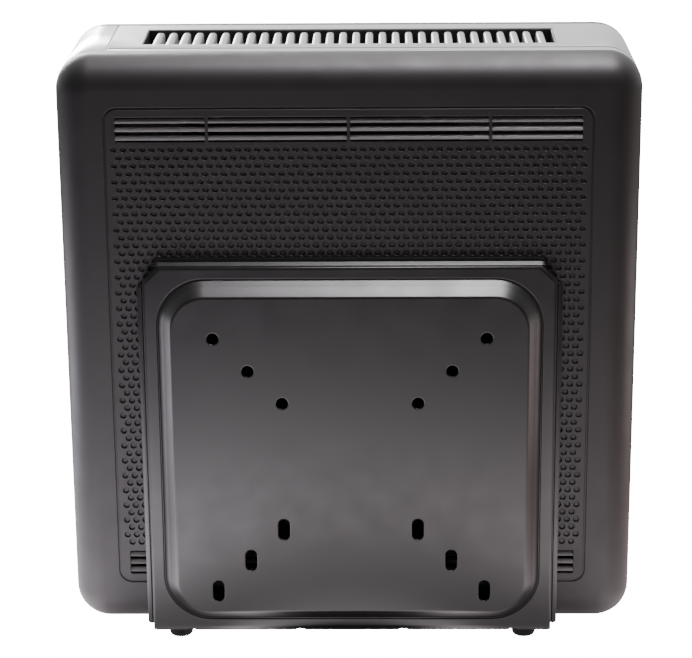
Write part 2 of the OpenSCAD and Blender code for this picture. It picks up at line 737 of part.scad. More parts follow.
module memory_sockets() {
    color([0.07, 0.07, 0.075]) for (x = DIMM_X) difference() {
        union() {
            span([x - 3.2, y_pcb, board_z - 70], [x + 3.2, y_pcb + 6.5, board_z + 70]);
            for (s = [-1, 1]) span([x - 3.2, y_pcb, board_z + s * 70.5 - 3], [x + 3.2, y_pcb + 14,
                                   board_z + s * 70.5 + 3]);
        }
        span([x - 0.8, y_pcb + 2, board_z - dimm_len / 2 - 0.4],
             [x + 0.8, y_pcb + 30, board_z + dimm_len / 2 + 0.4]);
    }
}

module memory_modules() {
    color([0.05, 0.30, 0.16]) for (x = DIMM_X) {
        span([x - 0.6, y_pcb + 2.2, board_z - dimm_len / 2], [x + 0.6, y_pcb + 32, board_z + dimm_len / 2]);
        for (k = [0:7]) span([x + 0.5, y_pcb + 14, board_z - 60 + 15.5 * k],
                             [x + 1.7, y_pcb + 25, board_z - 60 + 15.5 * k + 10.5]);
    }
}

// square-pin power connector standing on the board
module power_socket(x, z, nx, nz) {
    pitch = 4.2;
    w = [nx * pitch + 1.4, nz * pitch + 1.4];
    difference() {
        span([x - w[0] / 2, y_pcb, z - w[1] / 2], [x + w[0] / 2, y_pcb + power_h, z + w[1] / 2]);
        for (i = [0:nx - 1]) for (k = [0:nz - 1])
            span([x + (i - (nx - 1) / 2) * pitch - 1.7, y_pcb + 3, z + (k - (nz - 1) / 2) * pitch - 1.7],
                 [x + (i - (nx - 1) / 2) * pitch + 1.7, y_pcb + 20, z + (k - (nz - 1) / 2) * pitch + 1.7]);
    }
}

module board_power_socket() { color([0.85, 0.84, 0.78]) power_socket(POWER_AT[0], POWER_AT[1], 2, 12); }

module board_power_plug() {
    color([0.09, 0.09, 0.09]) translate([POWER_AT[0], y_pcb + power_h, POWER_AT[1]]) {
        span([-4.6, 0, -25.5], [4.6, 11, 25.5]);
        span([-4.2, 10, -10], [4.2, 14, 10]);
    }
}

module cpu_power_socket() { color([0.09, 0.09, 0.09]) power_socket(66, 196, 2, 2); }

module sata_sockets() {
    color([0.08, 0.08, 0.09]) for (z = SATA_Z) difference() {
        span([-66.7, y_pcb, z - 8.3], [-59.7, y_pcb + 9, z + 8.3]);
        span([-64.7, y_pcb + 3, z - 6], [-62.2, y_pcb + 12, z + 6]);
        span([-64.7, y_pcb + 3, z + 4], [-60.7, y_pcb + 12, z + 6]);
    }
}

module pin_headers() {
    color([0.12, 0.12, 0.12]) for (z = HEADERS_Z) {
        span([-65.2, y_pcb, z - 6.5], [-60.2, y_pcb + 2.5, z + 6.5]);
        for (i = [0, 1]) for (k = [0:4])
            span([-64.3 + pin_step * i, y_pcb + 2, z - 5.4 + pin_step * k],
                 [-63.7 + pin_step * i, y_pcb + 8, z - 4.8 + pin_step * k]);
    }
}

module pcie_slot() {
    color([0.08, 0.08, 0.08]) difference() {
        span([-25, y_pcb, 38.5], [64, y_pcb + 11, 46]);
        span([-22, y_pcb + 2, slot_z0], [-11, y_pcb + 20, slot_z1]);
        span([-8.5, y_pcb + 2, slot_z0], [61, y_pcb + 20, slot_z1]);
    }
}

module chipset_heatsink() {
    color([0.20, 0.21, 0.23]) {
        span([-34, y_pcb, 50], [0, y_pcb + 3, 70]);
        for (i = [0:8]) span([-34 + 4 * i, y_pcb + 2.5, 50], [-32 + 4 * i, y_pcb + 9, 70]);
    }
}

module battery_holder() {
    color([0.08, 0.08, 0.08]) difference() {
        rod_y(BATTERY[0], BATTERY[1], y_pcb, y_pcb + 4.5, 24);
        rod_y(BATTERY[0], BATTERY[1], y_pcb + 1, y_pcb + 6, 20.4);
    }
}

module cmos_battery() {
    color([0.80, 0.81, 0.82]) rod_y(BATTERY[0], BATTERY[1], y_pcb + 1, y_pcb + 4.2, 20);
}

module power_inductors() {
    color([0.30, 0.31, 0.32]) for (i = [0:4])
        between(y_pcb, y_pcb + 5) translate([-8 + 11 * i, 175]) rounded(8, 8, 1);
}

module power_capacitors() {
    color([0.55, 0.56, 0.58]) for (i = [0:6]) {
        rod_y(-10 + 9 * i, 189, y_pcb, y_pcb + 1, 6.9);
        rod_y(-10 + 9 * i, 189, y_pcb + 0.8, y_pcb + 9, 6.3);
    }
}

// ---------- power input ----------

module power_board() {
    color([0.05, 0.16, 0.30]) difference() {
        union() {
            span([-50, y_pcb0, 11.5], [72, y_pcb, 30.5]);
            for (x = POWER_POSTS) rod_y(x, power_z, y_tray, y_pcb0 + 0.5, post_d);
        }
        for (x = POWER_POSTS) rod_y(x, power_z, y_pcb0 + 0.6, y_pcb + cut, 3);
    }
}

module power_board_parts() {
    color([0.15, 0.15, 0.16]) {
        for (x = [-10, 14, 38]) between(y_pcb, y_pcb + 8) translate([x, 20.5]) rounded(12, 12, 1.5);
        for (x = [-22, 2, 26, 50]) rod_y(x, 18, y_pcb, y_pcb + 11, 7);
        span([-40, y_pcb, 14], [-30, y_pcb + 9, 28]);
        span([57, y_pcb, 15], [64, y_pcb + 9, 27]);
    }
}

module dc_jack() {
    color([0.12, 0.12, 0.12]) {
        difference() {
            union() {
                rod_x(DC[0], DC[1], 92, 105, 7.9);
                rod_x(DC[0], DC[1], frame_x, 105.4, 11);
            }
            rod_x(DC[0], DC[1], 95, case_w, 5.7);
        }
        rod_x(DC[0], DC[1], 94, 104.6, 2);
    }
}

module dc_jack_nut() {
    color([0.7, 0.7, 0.72]) difference() {
        rod_x(DC[0], DC[1], frame_x - steel - 2, frame_x - steel, 11, $fn = 6);
        rod_x(DC[0], DC[1], 90, case_w, 8.1);
    }
}

// ---------- drive behind the tray ----------

module ssd() {
    y1 = y_band0 - 1.2;
    color([0.16, 0.16, 0.17]) difference() {
        between(y1 - ssd_t, y1) translate([ssd_x, ssd_z]) rounded(ssd_l, ssd_w, 2);
        for (x = [-1, 1]) for (z = [-1, 1])
            translate([ssd_x + x * drive_screw_x, y1 - 3, ssd_z + z * (ssd_w / 2 - 4)])
                cylinder(d = m3_bore, h = 10, center = true);
    }
}

module drive_bracket() {
    y1 = y_band0;
    t = 1.2;
    x1 = ssd_l / 2 - 6;
    z1 = ssd_w / 2 + 0.2;
    color([0.5, 0.5, 0.52]) difference() {
        union() {
            span([ssd_x - x1, y1 - t, ssd_z - z1 - t], [ssd_x + x1, y1, ssd_z + z1 + t]);
            for (s = [-1, 1]) span([ssd_x - x1, y1 - 6.5, ssd_z + s * (z1 + t / 2) - t / 2],
                                   [ssd_x + x1, y1, ssd_z + s * (z1 + t / 2) + t / 2]);
        }
        for (x = [-1, 1]) translate([ssd_x + x * drive_screw_x, y1 - t - 3, ssd_z])
            cylinder(d = m3_bore, h = 100, center = true);
    }
}

module drive_screws() {
    y = y_band0 - 4.2;
    z1 = ssd_w / 2 + 1.4;
    color([0.7, 0.7, 0.72]) for (x = [-1, 1]) for (s = [-1, 1])
        translate([ssd_x + x * drive_screw_x, y, ssd_z + s * z1]) rotate([s > 0 ? 0 : 180, 0, 0]) {
            cylinder(d = 5, h = 1.5);
            translate([0, 0, -5]) cylinder(d = m3_shaft, h = 5.5);
        }
}

// ---------- cables held inside the case ----------

SATA_ROUTE = [[-63.2, y_pcb + 15, 143], [-63.2, 4.5, 143], [-64, 7.5, 143], [-69, 9, 142], [-77, 4, 139],
              [-83, -7, 136], [-86, -17, 134], [-85, -23, 135], [-81, -24.5, 141], [-76, -24.5, 148],
              [-71, -24.5, 152], [-68.5, -24.5, 152], [-66.5, -24.5, 152]];
POWER_ROUTE = [[-62.7, y_pcb + 26.8, 88], [-62.7, 17, 88], [-62.7, 19.5, 88], [-66, 23, 81], [-74, 20, 68],
               [-80, 10, 52], [-74, 1, 34], [-62, -5, 24], [-52, -8, 21], [-46, -8, 21], [-40, -8, 21]];
PANEL_ROUTE = [[x_ioboard + 1.6, 5, 172], [-86, 5, 172], [-83.5, 5, 172], [-76, 5, 170], [-68, 5, 165],
               [-63.5, 2.5, 162.5], [-62.7, 0, 162], [-62.7, -2.4, 162], [-62.7, y_pcb + 8, 162]];
FAN_ROUTE = [[20, 26, 166], [20, 26, 168.5], [20, 26, 171], [12, 23, 176], [-6, 14, 182], [-24, 4, 184],
             [-31, 1, 184], [-32.2, -2.5, 184], [-32.2, -4.6, 184], [-32.2, y_pcb + 6, 184]];
DC_ROUTE = [[92, DC[0], DC[1]], [90, DC[0], DC[1]], [88, DC[0], DC[1]], [80, 2, 24], [73, -5, 22],
            [69, -8, 21], [66.5, -8, 21], [64, -8, 21]];

module sata_cable() {
    color([0.6, 0.05, 0.05]) {
        cable(bend(SATA_ROUTE, 3), 3.4);
        span([-66, y_pcb + 9, 136], [-60.4, y_pcb + 15, 150]);
        span([-66.5, -27.4, 145], [-60.2, -21.6, 159]);
    }
}

module board_power_cable() { color([0.08, 0.08, 0.08]) cable(bend(POWER_ROUTE, 3), 7); }

module front_panel_cable() { color([0.1, 0.1, 0.1]) cable(bend(PANEL_ROUTE, 3), 4); }

module fan_lead() {
    color([0.1, 0.1, 0.1]) {
        cable(bend(FAN_ROUTE, 3), 2.4);
        span([-36, y_pcb, 180], [-28.4, y_pcb + 6, 188]);
    }
}

module dc_lead() { color([0.5, 0.05, 0.05]) cable(bend(DC_ROUTE, 3), 3.6); }

// ---------- bracket and feet ----------

// outline of the bracket in X and Z with cut top corners, grown by g at its sides and top
module bracket_outline(g) {
    w = plate_w / 2 + g;
    c = bracket_chamfer;
    polygon([[-w, foot_h], [w, foot_h], [w, bracket_top + g - c], [w - c, bracket_top + g],
             [c - w, bracket_top + g], [-w, bracket_top + g - c]]);
}

// dished form of the emboss, from the plate's back, shrunk by inset
module emboss_form(inset, depth) {
    rim_r = 17;
    top_r = 12.5;
    translate([0, emboss_z, 0]) hull() {
        translate([0, 0, -0.01]) linear_extrude(sheet)
            rounded(emboss_w - 2 * inset, emboss_h - 2 * inset, rim_r, $fn = 32);
        translate([0, 0, depth - 0.01]) linear_extrude(0.01)
            rounded(emboss_w - 2 * emboss_slope - 2 * inset, emboss_h - 2 * emboss_slope - 2 * inset,
                    top_r, $fn = 32);
    }
}

module vesa_bracket() {
    side_top = bracket_top - bracket_chamfer;
    lip_cut = 8;
    half = (vesa_slot_len - vesa_hole_d) / 2;   // half of a slot's straight part
    color([0.12, 0.12, 0.125]) difference() {
        union() {
            upright(y_rim + sheet) {
                linear_extrude(sheet) bracket_outline(0);
                emboss_form(0, sheet + emboss);
            }
            // flanges bent back to the cover, with lips that lie on it, and the foot plate
            for (s = [-1, 1])
                span([s * (plate_w / 2 - sheet / 2) - sheet / 2, y_rim, foot_h],
                     [s * (plate_w / 2 - sheet / 2) + sheet / 2, y_near, side_top]);
            span([bracket_chamfer - plate_w / 2, y_rim, bracket_top - sheet],
                 [plate_w / 2 - bracket_chamfer, y_near, bracket_top]);
            between(y_near - sheet, y_near) difference() {
                bracket_outline(lip);
                bracket_outline(-sheet);
                for (s = [-1, 1]) translate([s * (bracket_w / 2 - lip), bracket_top])
                    square(lip_cut, center = true);
                translate([-bracket_w, 0]) square([2 * bracket_w, z_case + 1]);
            }
            span([-plate_w / 2, y_rim, foot_h], [plate_w / 2, base_y1, z_case]);
            difference() {
                span([-plate_w / 2, y_rim + sheet / 2, foot_h + sheet / 2],
                     [plate_w / 2, y_rim + bend_r, foot_h + bend_r]);
                rod_x(y_rim + bend_r, foot_h + bend_r, -bracket_w, bracket_w, 2 * (bend_r - sheet));
            }
        }
        // outside of the bend
        difference() {
            span([-bracket_w, y_rim - cut, foot_h - cut], [bracket_w, y_rim + bend_r, foot_h + bend_r]);
            rod_x(y_rim + bend_r, foot_h + bend_r, -bracket_w - cut, bracket_w + cut, 2 * bend_r);
        }
        upright(y_rim + sheet) translate([0, 0, -sheet]) emboss_form(0.6, sheet + emboss - 0.01);
        // round holes above the middle, slots below it
        for (p = VESA) for (s = [-1, 1]) {
            rod_y(s * p / 2, vesa_z + p / 2, y_front - cut, y_rim, vesa_hole_d);
            for (e = [-1, 1]) rod_y(s * p / 2, vesa_z - p / 2 + e * half, y_front - cut, y_rim, vesa_hole_d);
            span([s * p / 2 - vesa_hole_d / 2, y_front - cut, vesa_z - p / 2 - half],
                 [s * p / 2 + vesa_hole_d / 2, y_rim, vesa_z - p / 2 + half]);
        }
        for (x = NOTCHES) span([x - notch_w / 2, y_rim - cut, 0],
                               [x + notch_w / 2, y_rim + 0.9 * bend_r, foot_h + notch_h]);
        for (p = BRACKET_SCREWS) translate([p[0], p[1], 0]) cylinder(d = m4_clear, h = z_case + cut);
    }
}

module bracket_screws() {
    color([0.75, 0.75, 0.77]) for (p = BRACKET_SCREWS) translate([p[0], p[1], 0]) {
        difference() {
            translate([0, 0, foot_h - 2.4]) cylinder(d = 8, h = 2.4);
            translate([0, 0, foot_h - 3]) cylinder(d = 3, h = 2, $fn = 6);
        }
        translate([0, 0, foot_h - 0.5]) cylinder(d = 3.9, h = 7);
    }
}

module rubber_feet() {
    color([0.05, 0.05, 0.05]) for (p = FEET) translate([p[0], p[1], 0]) rotate_extrude() polygon(concat(
        [[0, foot_h], [0, 0], [foot_d / 2 - 1.5, 0]],
        [for (a = [-75:15:0]) [foot_d / 2 - 1.5 + 1.5 * cos(a), 1.5 + 1.5 * sin(a)]],
        [[foot_d / 2, foot_h]]));
}

vesa_side_cover();
access_side_cover();
case_band();
front_bezel();
front_panel_insert();
power_button();
status_light_pipes();
front_io_board();
front_usb_ports();
front_audio_jacks();
power_switch();
front_board_screws();
chassis_frame();
frame_screws();
board_standoffs();
board_screws();
mainboard();
io_shield();
rear_usb_ports();
lan_jack();
video_ports();
rear_audio_jacks();
cpu_socket();
cpu();
heatsink();
cooler_screws();
fan_frame();
fan_rotor();
fan_screws();
memory_sockets();
memory_modules();
board_power_socket();
board_power_plug();
cpu_power_socket();
sata_sockets();
pin_headers();
pcie_slot();
chipset_heatsink();
battery_holder();
cmos_battery();
power_inductors();
power_capacitors();
power_board();
power_board_parts();
dc_jack();
dc_jack_nut();
ssd();
drive_bracket();
drive_screws();
sata_cable();
board_power_cable();
front_panel_cable();
fan_lead();
dc_lead();
vesa_bracket();
bracket_screws();
rubber_feet();
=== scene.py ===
"""Mini pc on its upright bracket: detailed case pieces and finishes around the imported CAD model."""
import json
import math

import bmesh
import bpy
from mathutils import Matrix, Vector
from mathutils.geometry import delaunay_2d_cdt


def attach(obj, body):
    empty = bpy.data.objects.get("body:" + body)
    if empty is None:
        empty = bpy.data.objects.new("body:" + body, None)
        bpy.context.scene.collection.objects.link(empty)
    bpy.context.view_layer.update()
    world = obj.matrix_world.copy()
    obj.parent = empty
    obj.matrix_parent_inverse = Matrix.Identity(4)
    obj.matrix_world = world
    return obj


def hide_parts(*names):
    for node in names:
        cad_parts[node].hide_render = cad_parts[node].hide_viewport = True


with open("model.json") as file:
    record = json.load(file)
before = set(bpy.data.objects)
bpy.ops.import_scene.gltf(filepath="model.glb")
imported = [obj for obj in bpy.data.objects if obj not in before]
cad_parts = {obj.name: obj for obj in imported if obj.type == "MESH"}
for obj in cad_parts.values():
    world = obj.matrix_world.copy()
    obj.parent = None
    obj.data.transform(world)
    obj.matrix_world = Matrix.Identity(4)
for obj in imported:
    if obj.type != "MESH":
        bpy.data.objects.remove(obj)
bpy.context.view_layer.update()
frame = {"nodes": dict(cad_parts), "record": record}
NODES = frame["nodes"]
MM = 0.001

# ---------- sizes in millimetres, the same as the CAD model's ----------

CASE_W, CASE_H = 212.0, 220.0
COVER_D, SKIN, CORNER_R, EDGE_R = 13.5, 2.0, 13.0, 11.5
Y_BAND0, Y_BAND1 = -19.75, 30.25
Z_MID, Z_TOP, Y_PANEL = 115.5, 225.5, -14.05
X_SEAM = -88.0
GROOVE_X, GROOVE_Z = 88.0, 92.0
LOUVRE_Z, LOUVRE_H, LOUVRE_BAR, LOUVRE_PITCH = 84.2, 9.2, 1.45, 3.13
PANES = [(-84.0, -51.6), (-50.4, -0.6), (0.6, 50.4), (51.6, 84.0)]
VENT_X, VENT_Y0, VENT_Y1 = 75.95, -6.85, 21.15
VENT_SLOTS, VENT_PITCH, FIN_W = 31, 4.9, 2.8
Y_FRONT, Y_RIM, Y_NEAR = -43.75, -38.25, -33.25
PLATE_X, PLATE_TOP, PLATE_CUT, SHEET = 75.6, 149.6, 5.5, 1.2
EMBOSS_W, EMBOSS_H, EMBOSS_Z, EMBOSS, SLOPE = 140.0, 133.6, 77.6, 5.5, 4.7
FOOT_H, Z_CASE = 4.3, 5.5
VESA_Z, HOLE_D, SLOT_LEN = 74.0, 4.4, 8.4
NOTCHES, NOTCH_H, BEND_R = (-61.5, -19.6, 19.6, 61.5), 1.0, 4.0
REAR_OPEN_Y, REAR_OPEN_Z = (-17.15, 29.3), (37.1, 198.9)
FRONT_OPEN_Y, FRONT_OPEN_Z = (-13.75, 24.25), (20.5, 210.5)
JACK_Y, JACK_Z, JACK_D = 5, 25, 13
SCREW_X, SCREW_Y, SCREW_D = (-40, 40), 5, 4.4


# ---------- mesh building ----------

class Shell:
    """Points and faces of one piece, in millimetres. Its parts are closed forms."""

    def __init__(self):
        self.points, self.faces = [], []

    def ring(self, points):
        start = len(self.points)
        self.points += [tuple(p) for p in points]
        return list(range(start, len(self.points)))

    def bridge(self, a, b, closed=True):
        n = len(a)
        for i in range(n if closed else n - 1):
            j = (i + 1) % n
            self.faces.append((a[i], a[j], b[j], b[i]))

    def stack(self, rings, closed=True):
        for a, b in zip(rings, rings[1:]):
            self.bridge(a, b, closed)

    def cap(self, ring):
        self.faces.append(tuple(ring))

    def fill(self, loops, flat, keep):
        """Fills between closed loops of point numbers. flat gives a point's place in the plane."""
        index = [i for loop in loops for i in loop]
        place = [Vector(flat(self.points[i])) for i in index]
        edges, start = [], 0
        for loop in loops:
            n = len(loop)
            edges += [(start + k, start + (k + 1) % n) for k in range(n)]
            start += n
        out = delaunay_2d_cdt(place, edges, [], 0, 1e-6)
        spots, faces, source = out[0], out[2], out[3]
        for f in faces:
            mid = (spots[f[0]] + spots[f[1]] + spots[f[2]]) / 3
            if keep(mid.x, mid.y):
                self.faces.append(tuple(index[source[i][0]] for i in f))

    def box(self, low, high):
        (x0, y0, z0), (x1, y1, z1) = low, high
        a = self.ring([(x0, y0, z0), (x1, y0, z0), (x1, y1, z0), (x0, y1, z0)])
        b = self.ring([(x0, y0, z1), (x1, y0, z1), (x1, y1, z1), (x0, y1, z1)])
        self.bridge(a, b)
        self.cap(a)
        self.cap(b)

    def prism(self, sections):
        """Closed form through a row of sections with equal numbers of points."""
        rings = [self.ring(s) for s in sections]
        self.stack(rings)
        self.cap(rings[0])
        self.cap(rings[-1])

    def mesh(self, name, sharp=32):
        m = bpy.data.meshes.new(name)
        m.from_pydata([(x * MM, y * MM, z * MM) for x, y, z in self.points], [], self.faces)
        b = bmesh.new()
        b.from_mesh(m)
        bmesh.ops.remove_doubles(b, verts=b.verts, dist=1e-7)
        bmesh.ops.recalc_face_normals(b, faces=b.faces)
        b.to_mesh(m)
        b.free()
        soften(m, sharp)
        return m


def soften(m, sharp=32):
    m.polygons.foreach_set("use_smooth", [True] * len(m.polygons))
    m.set_sharp_from_angle(angle=math.radians(sharp))
    m.update()


def piece(name, mesh, body, slot, stands_for=(), finish=None):
    """Adds a piece that rides on a body. It has its slot's finish, unless another is named."""
    o = bpy.data.objects.new(name, mesh)
    bpy.context.scene.collection.objects.link(o)
    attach(o, body)
    if stands_for:
        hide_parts(*stands_for)
    o.data.materials.append(FINISH[finish or slot])
    return o


def cut_away(mesh, cutters, sharp=32):
    """The mesh with each closed cutter taken out of it."""
    scene = bpy.context.scene
    body = bpy.data.objects.new("cut_body", mesh)
    scene.collection.objects.link(body)
    tool = bpy.data.objects.new("cut_tool", cutters.mesh("cut_tool"))
    scene.collection.objects.link(tool)
    mod = body.modifiers.new("cut", "BOOLEAN")
    mod.operation, mod.solver, mod.object, mod.use_self = "DIFFERENCE", "EXACT", tool, True
    bpy.context.view_layer.update()
    result = bpy.data.meshes.new_from_object(body.evaluated_get(bpy.context.evaluated_depsgraph_get()))
    for o in (body, tool):
        bpy.data.objects.remove(o)
    soften(result, sharp)
    return result


def joined(name, meshes, sharp=32):
    b = bmesh.new()
    for m in meshes:
        b.from_mesh(m)
    out = bpy.data.meshes.new(name)
    b.to_mesh(out)
    b.free()
    soften(out, sharp)
    return out


def arc(cx, cz, r, a0, a1, n):
    return [(cx + r * math.cos(math.radians(a0 + (a1 - a0) * i / n)),
             cz + r * math.sin(math.radians(a0 + (a1 - a0) * i / n))) for i in range(n + 1)]


def rounded(w, h, r, n=12, guard=0.0):
    """Round-cornered rectangle; guard adds points on the straight sides just past each corner."""
    out = []
    for k, (sx, sz) in enumerate(((1, 1), (-1, 1), (-1, -1), (1, -1))):
        cx, cz = sx * (w / 2 - r), sz * (h / 2 - r)
        a = arc(cx, cz, r, 90 * k, 90 * k + 90, n)
        if guard:
            (x0, z0), (x1, z1) = a[0], a[-1]
            t0, t1 = math.radians(90 * k - 90), math.radians(90 * k + 180)
            a = [(x0 + guard * math.cos(t0), z0 + guard * math.sin(t0))] + a
            a += [(x1 + guard * math.cos(t1), z1 + guard * math.sin(t1))]
        out += a
    return out


def in_rounded(x, z, w, h, r):
    dx, dz = max(abs(x) - (w / 2 - r), 0), max(abs(z) - (h / 2 - r), 0)
    return math.hypot(dx, dz) < r


def rod(shell, axis, centre, a, b, d, n=24):
    """Cylinder from a to b along an axis, used as a cutter."""
    def at(t, u):
        p = [0, 0, 0]
        i = "xyz".index(axis)
        p[i] = u
        j, k = [q for q in range(3) if q != i]
        p[j] = centre[0] + d / 2 * math.cos(t)
        p[k] = centre[1] + d / 2 * math.sin(t)
        return p
    turn = [2 * math.pi * i / n for i in range(n)]
    shell.prism([[at(t, a) for t in turn], [at(t, b) for t in turn]])


# ---------- side covers ----------

DIMPLE_PITCH = 3.46
DIMPLE_ROW = DIMPLE_PITCH * math.sqrt(3) / 2
DIMPLE_R, DIMPLE_DEEP = 1.12, 0.7
FIELD_X, FIELD_UP, FIELD_ROWS = 86.2, 2.1, (-26, 25)


def dimple_cells():
    """Cells of the dimple pattern: (column, row) to the centre of the cell."""
    cells = {}
    for j in range(FIELD_ROWS[0], FIELD_ROWS[1] + 1):
        shift = DIMPLE_PITCH / 2 if j % 2 else 0
        cols = int((FIELD_X + 1) / DIMPLE_PITCH) + 1
        for i in range(-cols, cols + 1):
            x = i * DIMPLE_PITCH + shift
            if abs(x) < FIELD_X:
                cells[(i, j)] = (x, j * DIMPLE_ROW + FIELD_UP)
    return cells


def add_dimples(shell, at):
    """Adds the dimples and returns the outer loops of the field and a test for being in it."""
    cells = dimple_cells()
    known, use = {}, {}
    long_r = DIMPLE_PITCH / math.sqrt(3)
    corner = [(DIMPLE_PITCH / 2 if k % 2 == 0 else long_r, math.radians(30 * k)) for k in range(12)]
    for cx, cz in cells.values():
        edge = []
        for r, t in corner:
            x, z = cx + r * math.cos(t), cz + r * math.sin(t)
            key = (round(4 * x / DIMPLE_PITCH), round(6 * (z - FIELD_UP) / DIMPLE_ROW))
            if key not in known:
                known[key] = shell.ring([at(x, z, 0)])[0]
            edge.append(known[key])
        for k in range(12):
            pair = (edge[k], edge[(k + 1) % 12])
            if pair[::-1] in use:
                use.pop(pair[::-1])
            else:
                use[pair] = True
        steps = ((DIMPLE_R + 0.14, 0), (DIMPLE_R, 0.12), (DIMPLE_R - 0.05, DIMPLE_DEEP - 0.2),
                 (DIMPLE_R - 0.3, DIMPLE_DEEP))
        last = edge
        for r, deep in steps:
            new = shell.ring([at(cx + r * math.cos(t), cz + r * math.sin(t), deep) for _, t in corner])
            shell.bridge(last, new)
            last = new
        shell.cap(last)
    follow = dict(use.keys())
    loops = []
    while follow:
        start, nxt = next(iter(follow.items()))
        loop = [start]
        while nxt != start:
            loop.append(nxt)
            nxt = follow.pop(nxt)
        follow.pop(start)
        loops.append(loop)

    def inside(x, z):
        z -= FIELD_UP
        j0 = round(z / DIMPLE_ROW)
        best = None
        for j in (j0 - 1, j0, j0 + 1):
            shift = DIMPLE_PITCH / 2 if j % 2 else 0
            i = round((x - shift) / DIMPLE_PITCH)
            d = math.hypot(x - i * DIMPLE_PITCH - shift, z - j * DIMPLE_ROW)
            if best is None or d < best[0]:
                best = (d, (i, j))
        return best[1] in cells
    return loops, inside


def louvre_bars(name, y_open, side):
    """Bars of both windows of a cover. Their smooth faces look up and out."""
    shell = Shell()
    h = LOUVRE_BAR / 2
    section = [(-h, 1.9), (-h, 0.3), (-h + 0.06, 0.14), (-h + 0.18, 0.08), (-h + 0.32, 0.13),
               (h - 0.12, 0.95), (h - 0.02, 1.08), (h, 1.25), (h, 1.9)]
    for x0, x1 in PANES:
        for z in (s * LOUVRE_Z + k * LOUVRE_PITCH for s in (1, -1) for k in (-1, 0, 1)):
            shell.prism([[(x, y_open + side * (COVER_D - deep), Z_MID + z + dz) for dz, deep in section]
                         for x in (x0 - 0.3, x1 + 0.3)])
    return shell.mesh(name)


def cover_skin(shell, outline, inset):
    """Rings of one skin of a cover, from its open edge over the soft edge to the flat face."""
    edge, steps = EDGE_R - inset, 14
    w, h, r = CASE_W - 2 * inset, CASE_H - 2 * inset, CORNER_R - inset
    if inset:
        rings = [outline(w, h, r, COVER_D)]
    else:
        rings = [outline(w - 0.6, h - 0.6, r - 0.3, COVER_D), outline(w, h, r, COVER_D - 0.3)]
    for i in range(steps + 1):
        t = math.radians(90 * i / steps)
        pull = edge - edge * math.cos(t)
        rings.append(outline(w - 2 * pull, h - 2 * pull, max(r - pull, 0.4),
                             inset + edge - edge * math.sin(t)))
    shell.stack(rings)
    return rings


def window_panes(shell, at):
    """Walls of the two louvre windows' openings, and their loops on the face and behind it."""
    front_loops, back_loops = [], []
    for s in (1, -1):
        for x0, x1 in PANES:
            w, cx, cz = x1 - x0, (x0 + x1) / 2, s * LOUVRE_Z
            rings = []
            for grow, deep in ((0.3, 0), (0.18, 0), (0.06, 0.07), (0, 0.22), (0, SKIN)):
                corners = rounded(w + 2 * grow, LOUVRE_H + 2 * grow, 0.5 + grow, 4)
                rings.append(shell.ring([at(cx + x, cz + z, deep) for x, z in corners]))
            shell.stack(rings)
            front_loops.append(rings[0])
            back_loops.append(rings[-1])
    return front_loops, back_loops


def snap_tabs(shell, y_open, side):
    """Snap tabs on short ledges, reaching into the steel frame."""
    tab_z, tab, ledge = 105.6, 1.6, 2.8
    boxes = ((-5, 3, tab_z - tab / 2, tab_z + tab / 2), (0.2, 3, tab_z, tab_z + ledge))
    for x in (-70, 0, 70):
        for s in (-1, 1):
            for y0, y1, z0, z1 in boxes:
                ya, yb = sorted((y_open + side * y0, y_open + side * y1))
                za, zb = sorted((s * z0, s * z1))
                shell.box((x - 6, ya, Z_MID + za), (x + 6, yb, Z_MID + zb))


def cover_mesh(name, y_open, side):
    """Pillow-shaped cover: soft edges, outline groove, two louvred windows and a field of dimples."""
    shell = Shell()

    def at(x, z, deep):
        return (x, y_open + side * (COVER_D - deep), Z_MID + z)

    def flat(p):
        return (p[0], p[2] - Z_MID)

    def outline(w, h, r, deep, n=12):
        return shell.ring([at(x, z, deep) for x, z in rounded(w, h, r, n)])

    outer, inner = (cover_skin(shell, outline, inset) for inset in (0, SKIN))
    shell.bridge(outer[0], inner[0])
    face_w, face_h = CASE_W - 2 * EDGE_R, CASE_H - 2 * EDGE_R
    guard = outline(face_w - 1, face_h - 1, 1.0, 0)
    shell.bridge(outer[-1], guard)
    # outline groove with soft lips
    gw, gh = 2 * GROOVE_X, 2 * GROOVE_Z
    groove = [outline(gw + grow, gh + grow, r, deep, 8) for grow, r, deep in
              ((1.6, 5.3, 0), (1.1, 5.1, 0), (0.75, 4.95, 0.14), (0.6, 4.9, 0.5),
               (-0.6, 4.3, 0.5), (-0.75, 4.25, 0.14), (-1.1, 4.1, 0), (-1.6, 3.9, 0))]
    shell.stack(groove)
    shell.fill([guard, groove[0]], flat,
               lambda x, z: in_rounded(x, z, face_w - 1, face_h - 1, 1.0)
               and not in_rounded(x, z, gw + 1.6, gh + 1.6, 5.3))
    front_loops, back_loops = window_panes(shell, at)

    def in_pane(x, z, grow):
        if abs(abs(z) - LOUVRE_Z) > LOUVRE_H / 2 + grow:
            return False
        return any(x0 - grow < x < x1 + grow for x0, x1 in PANES)

    loops, in_field = add_dimples(shell, at)
    shell.fill([groove[-1]] + front_loops + loops, flat,
               lambda x, z: in_rounded(x, z, gw - 1.6, gh - 1.6, 3.9)
               and not in_pane(x, z, 0.3) and not in_field(x, z))
    shell.fill([inner[-1]] + back_loops, flat,
               lambda x, z: in_rounded(x, z, face_w, face_h, 0.4) and not in_pane(x, z, 0))
    snap_tabs(shell, y_open, side)
    return shell.mesh(name)


# ---------- silver band and front bezel ----------

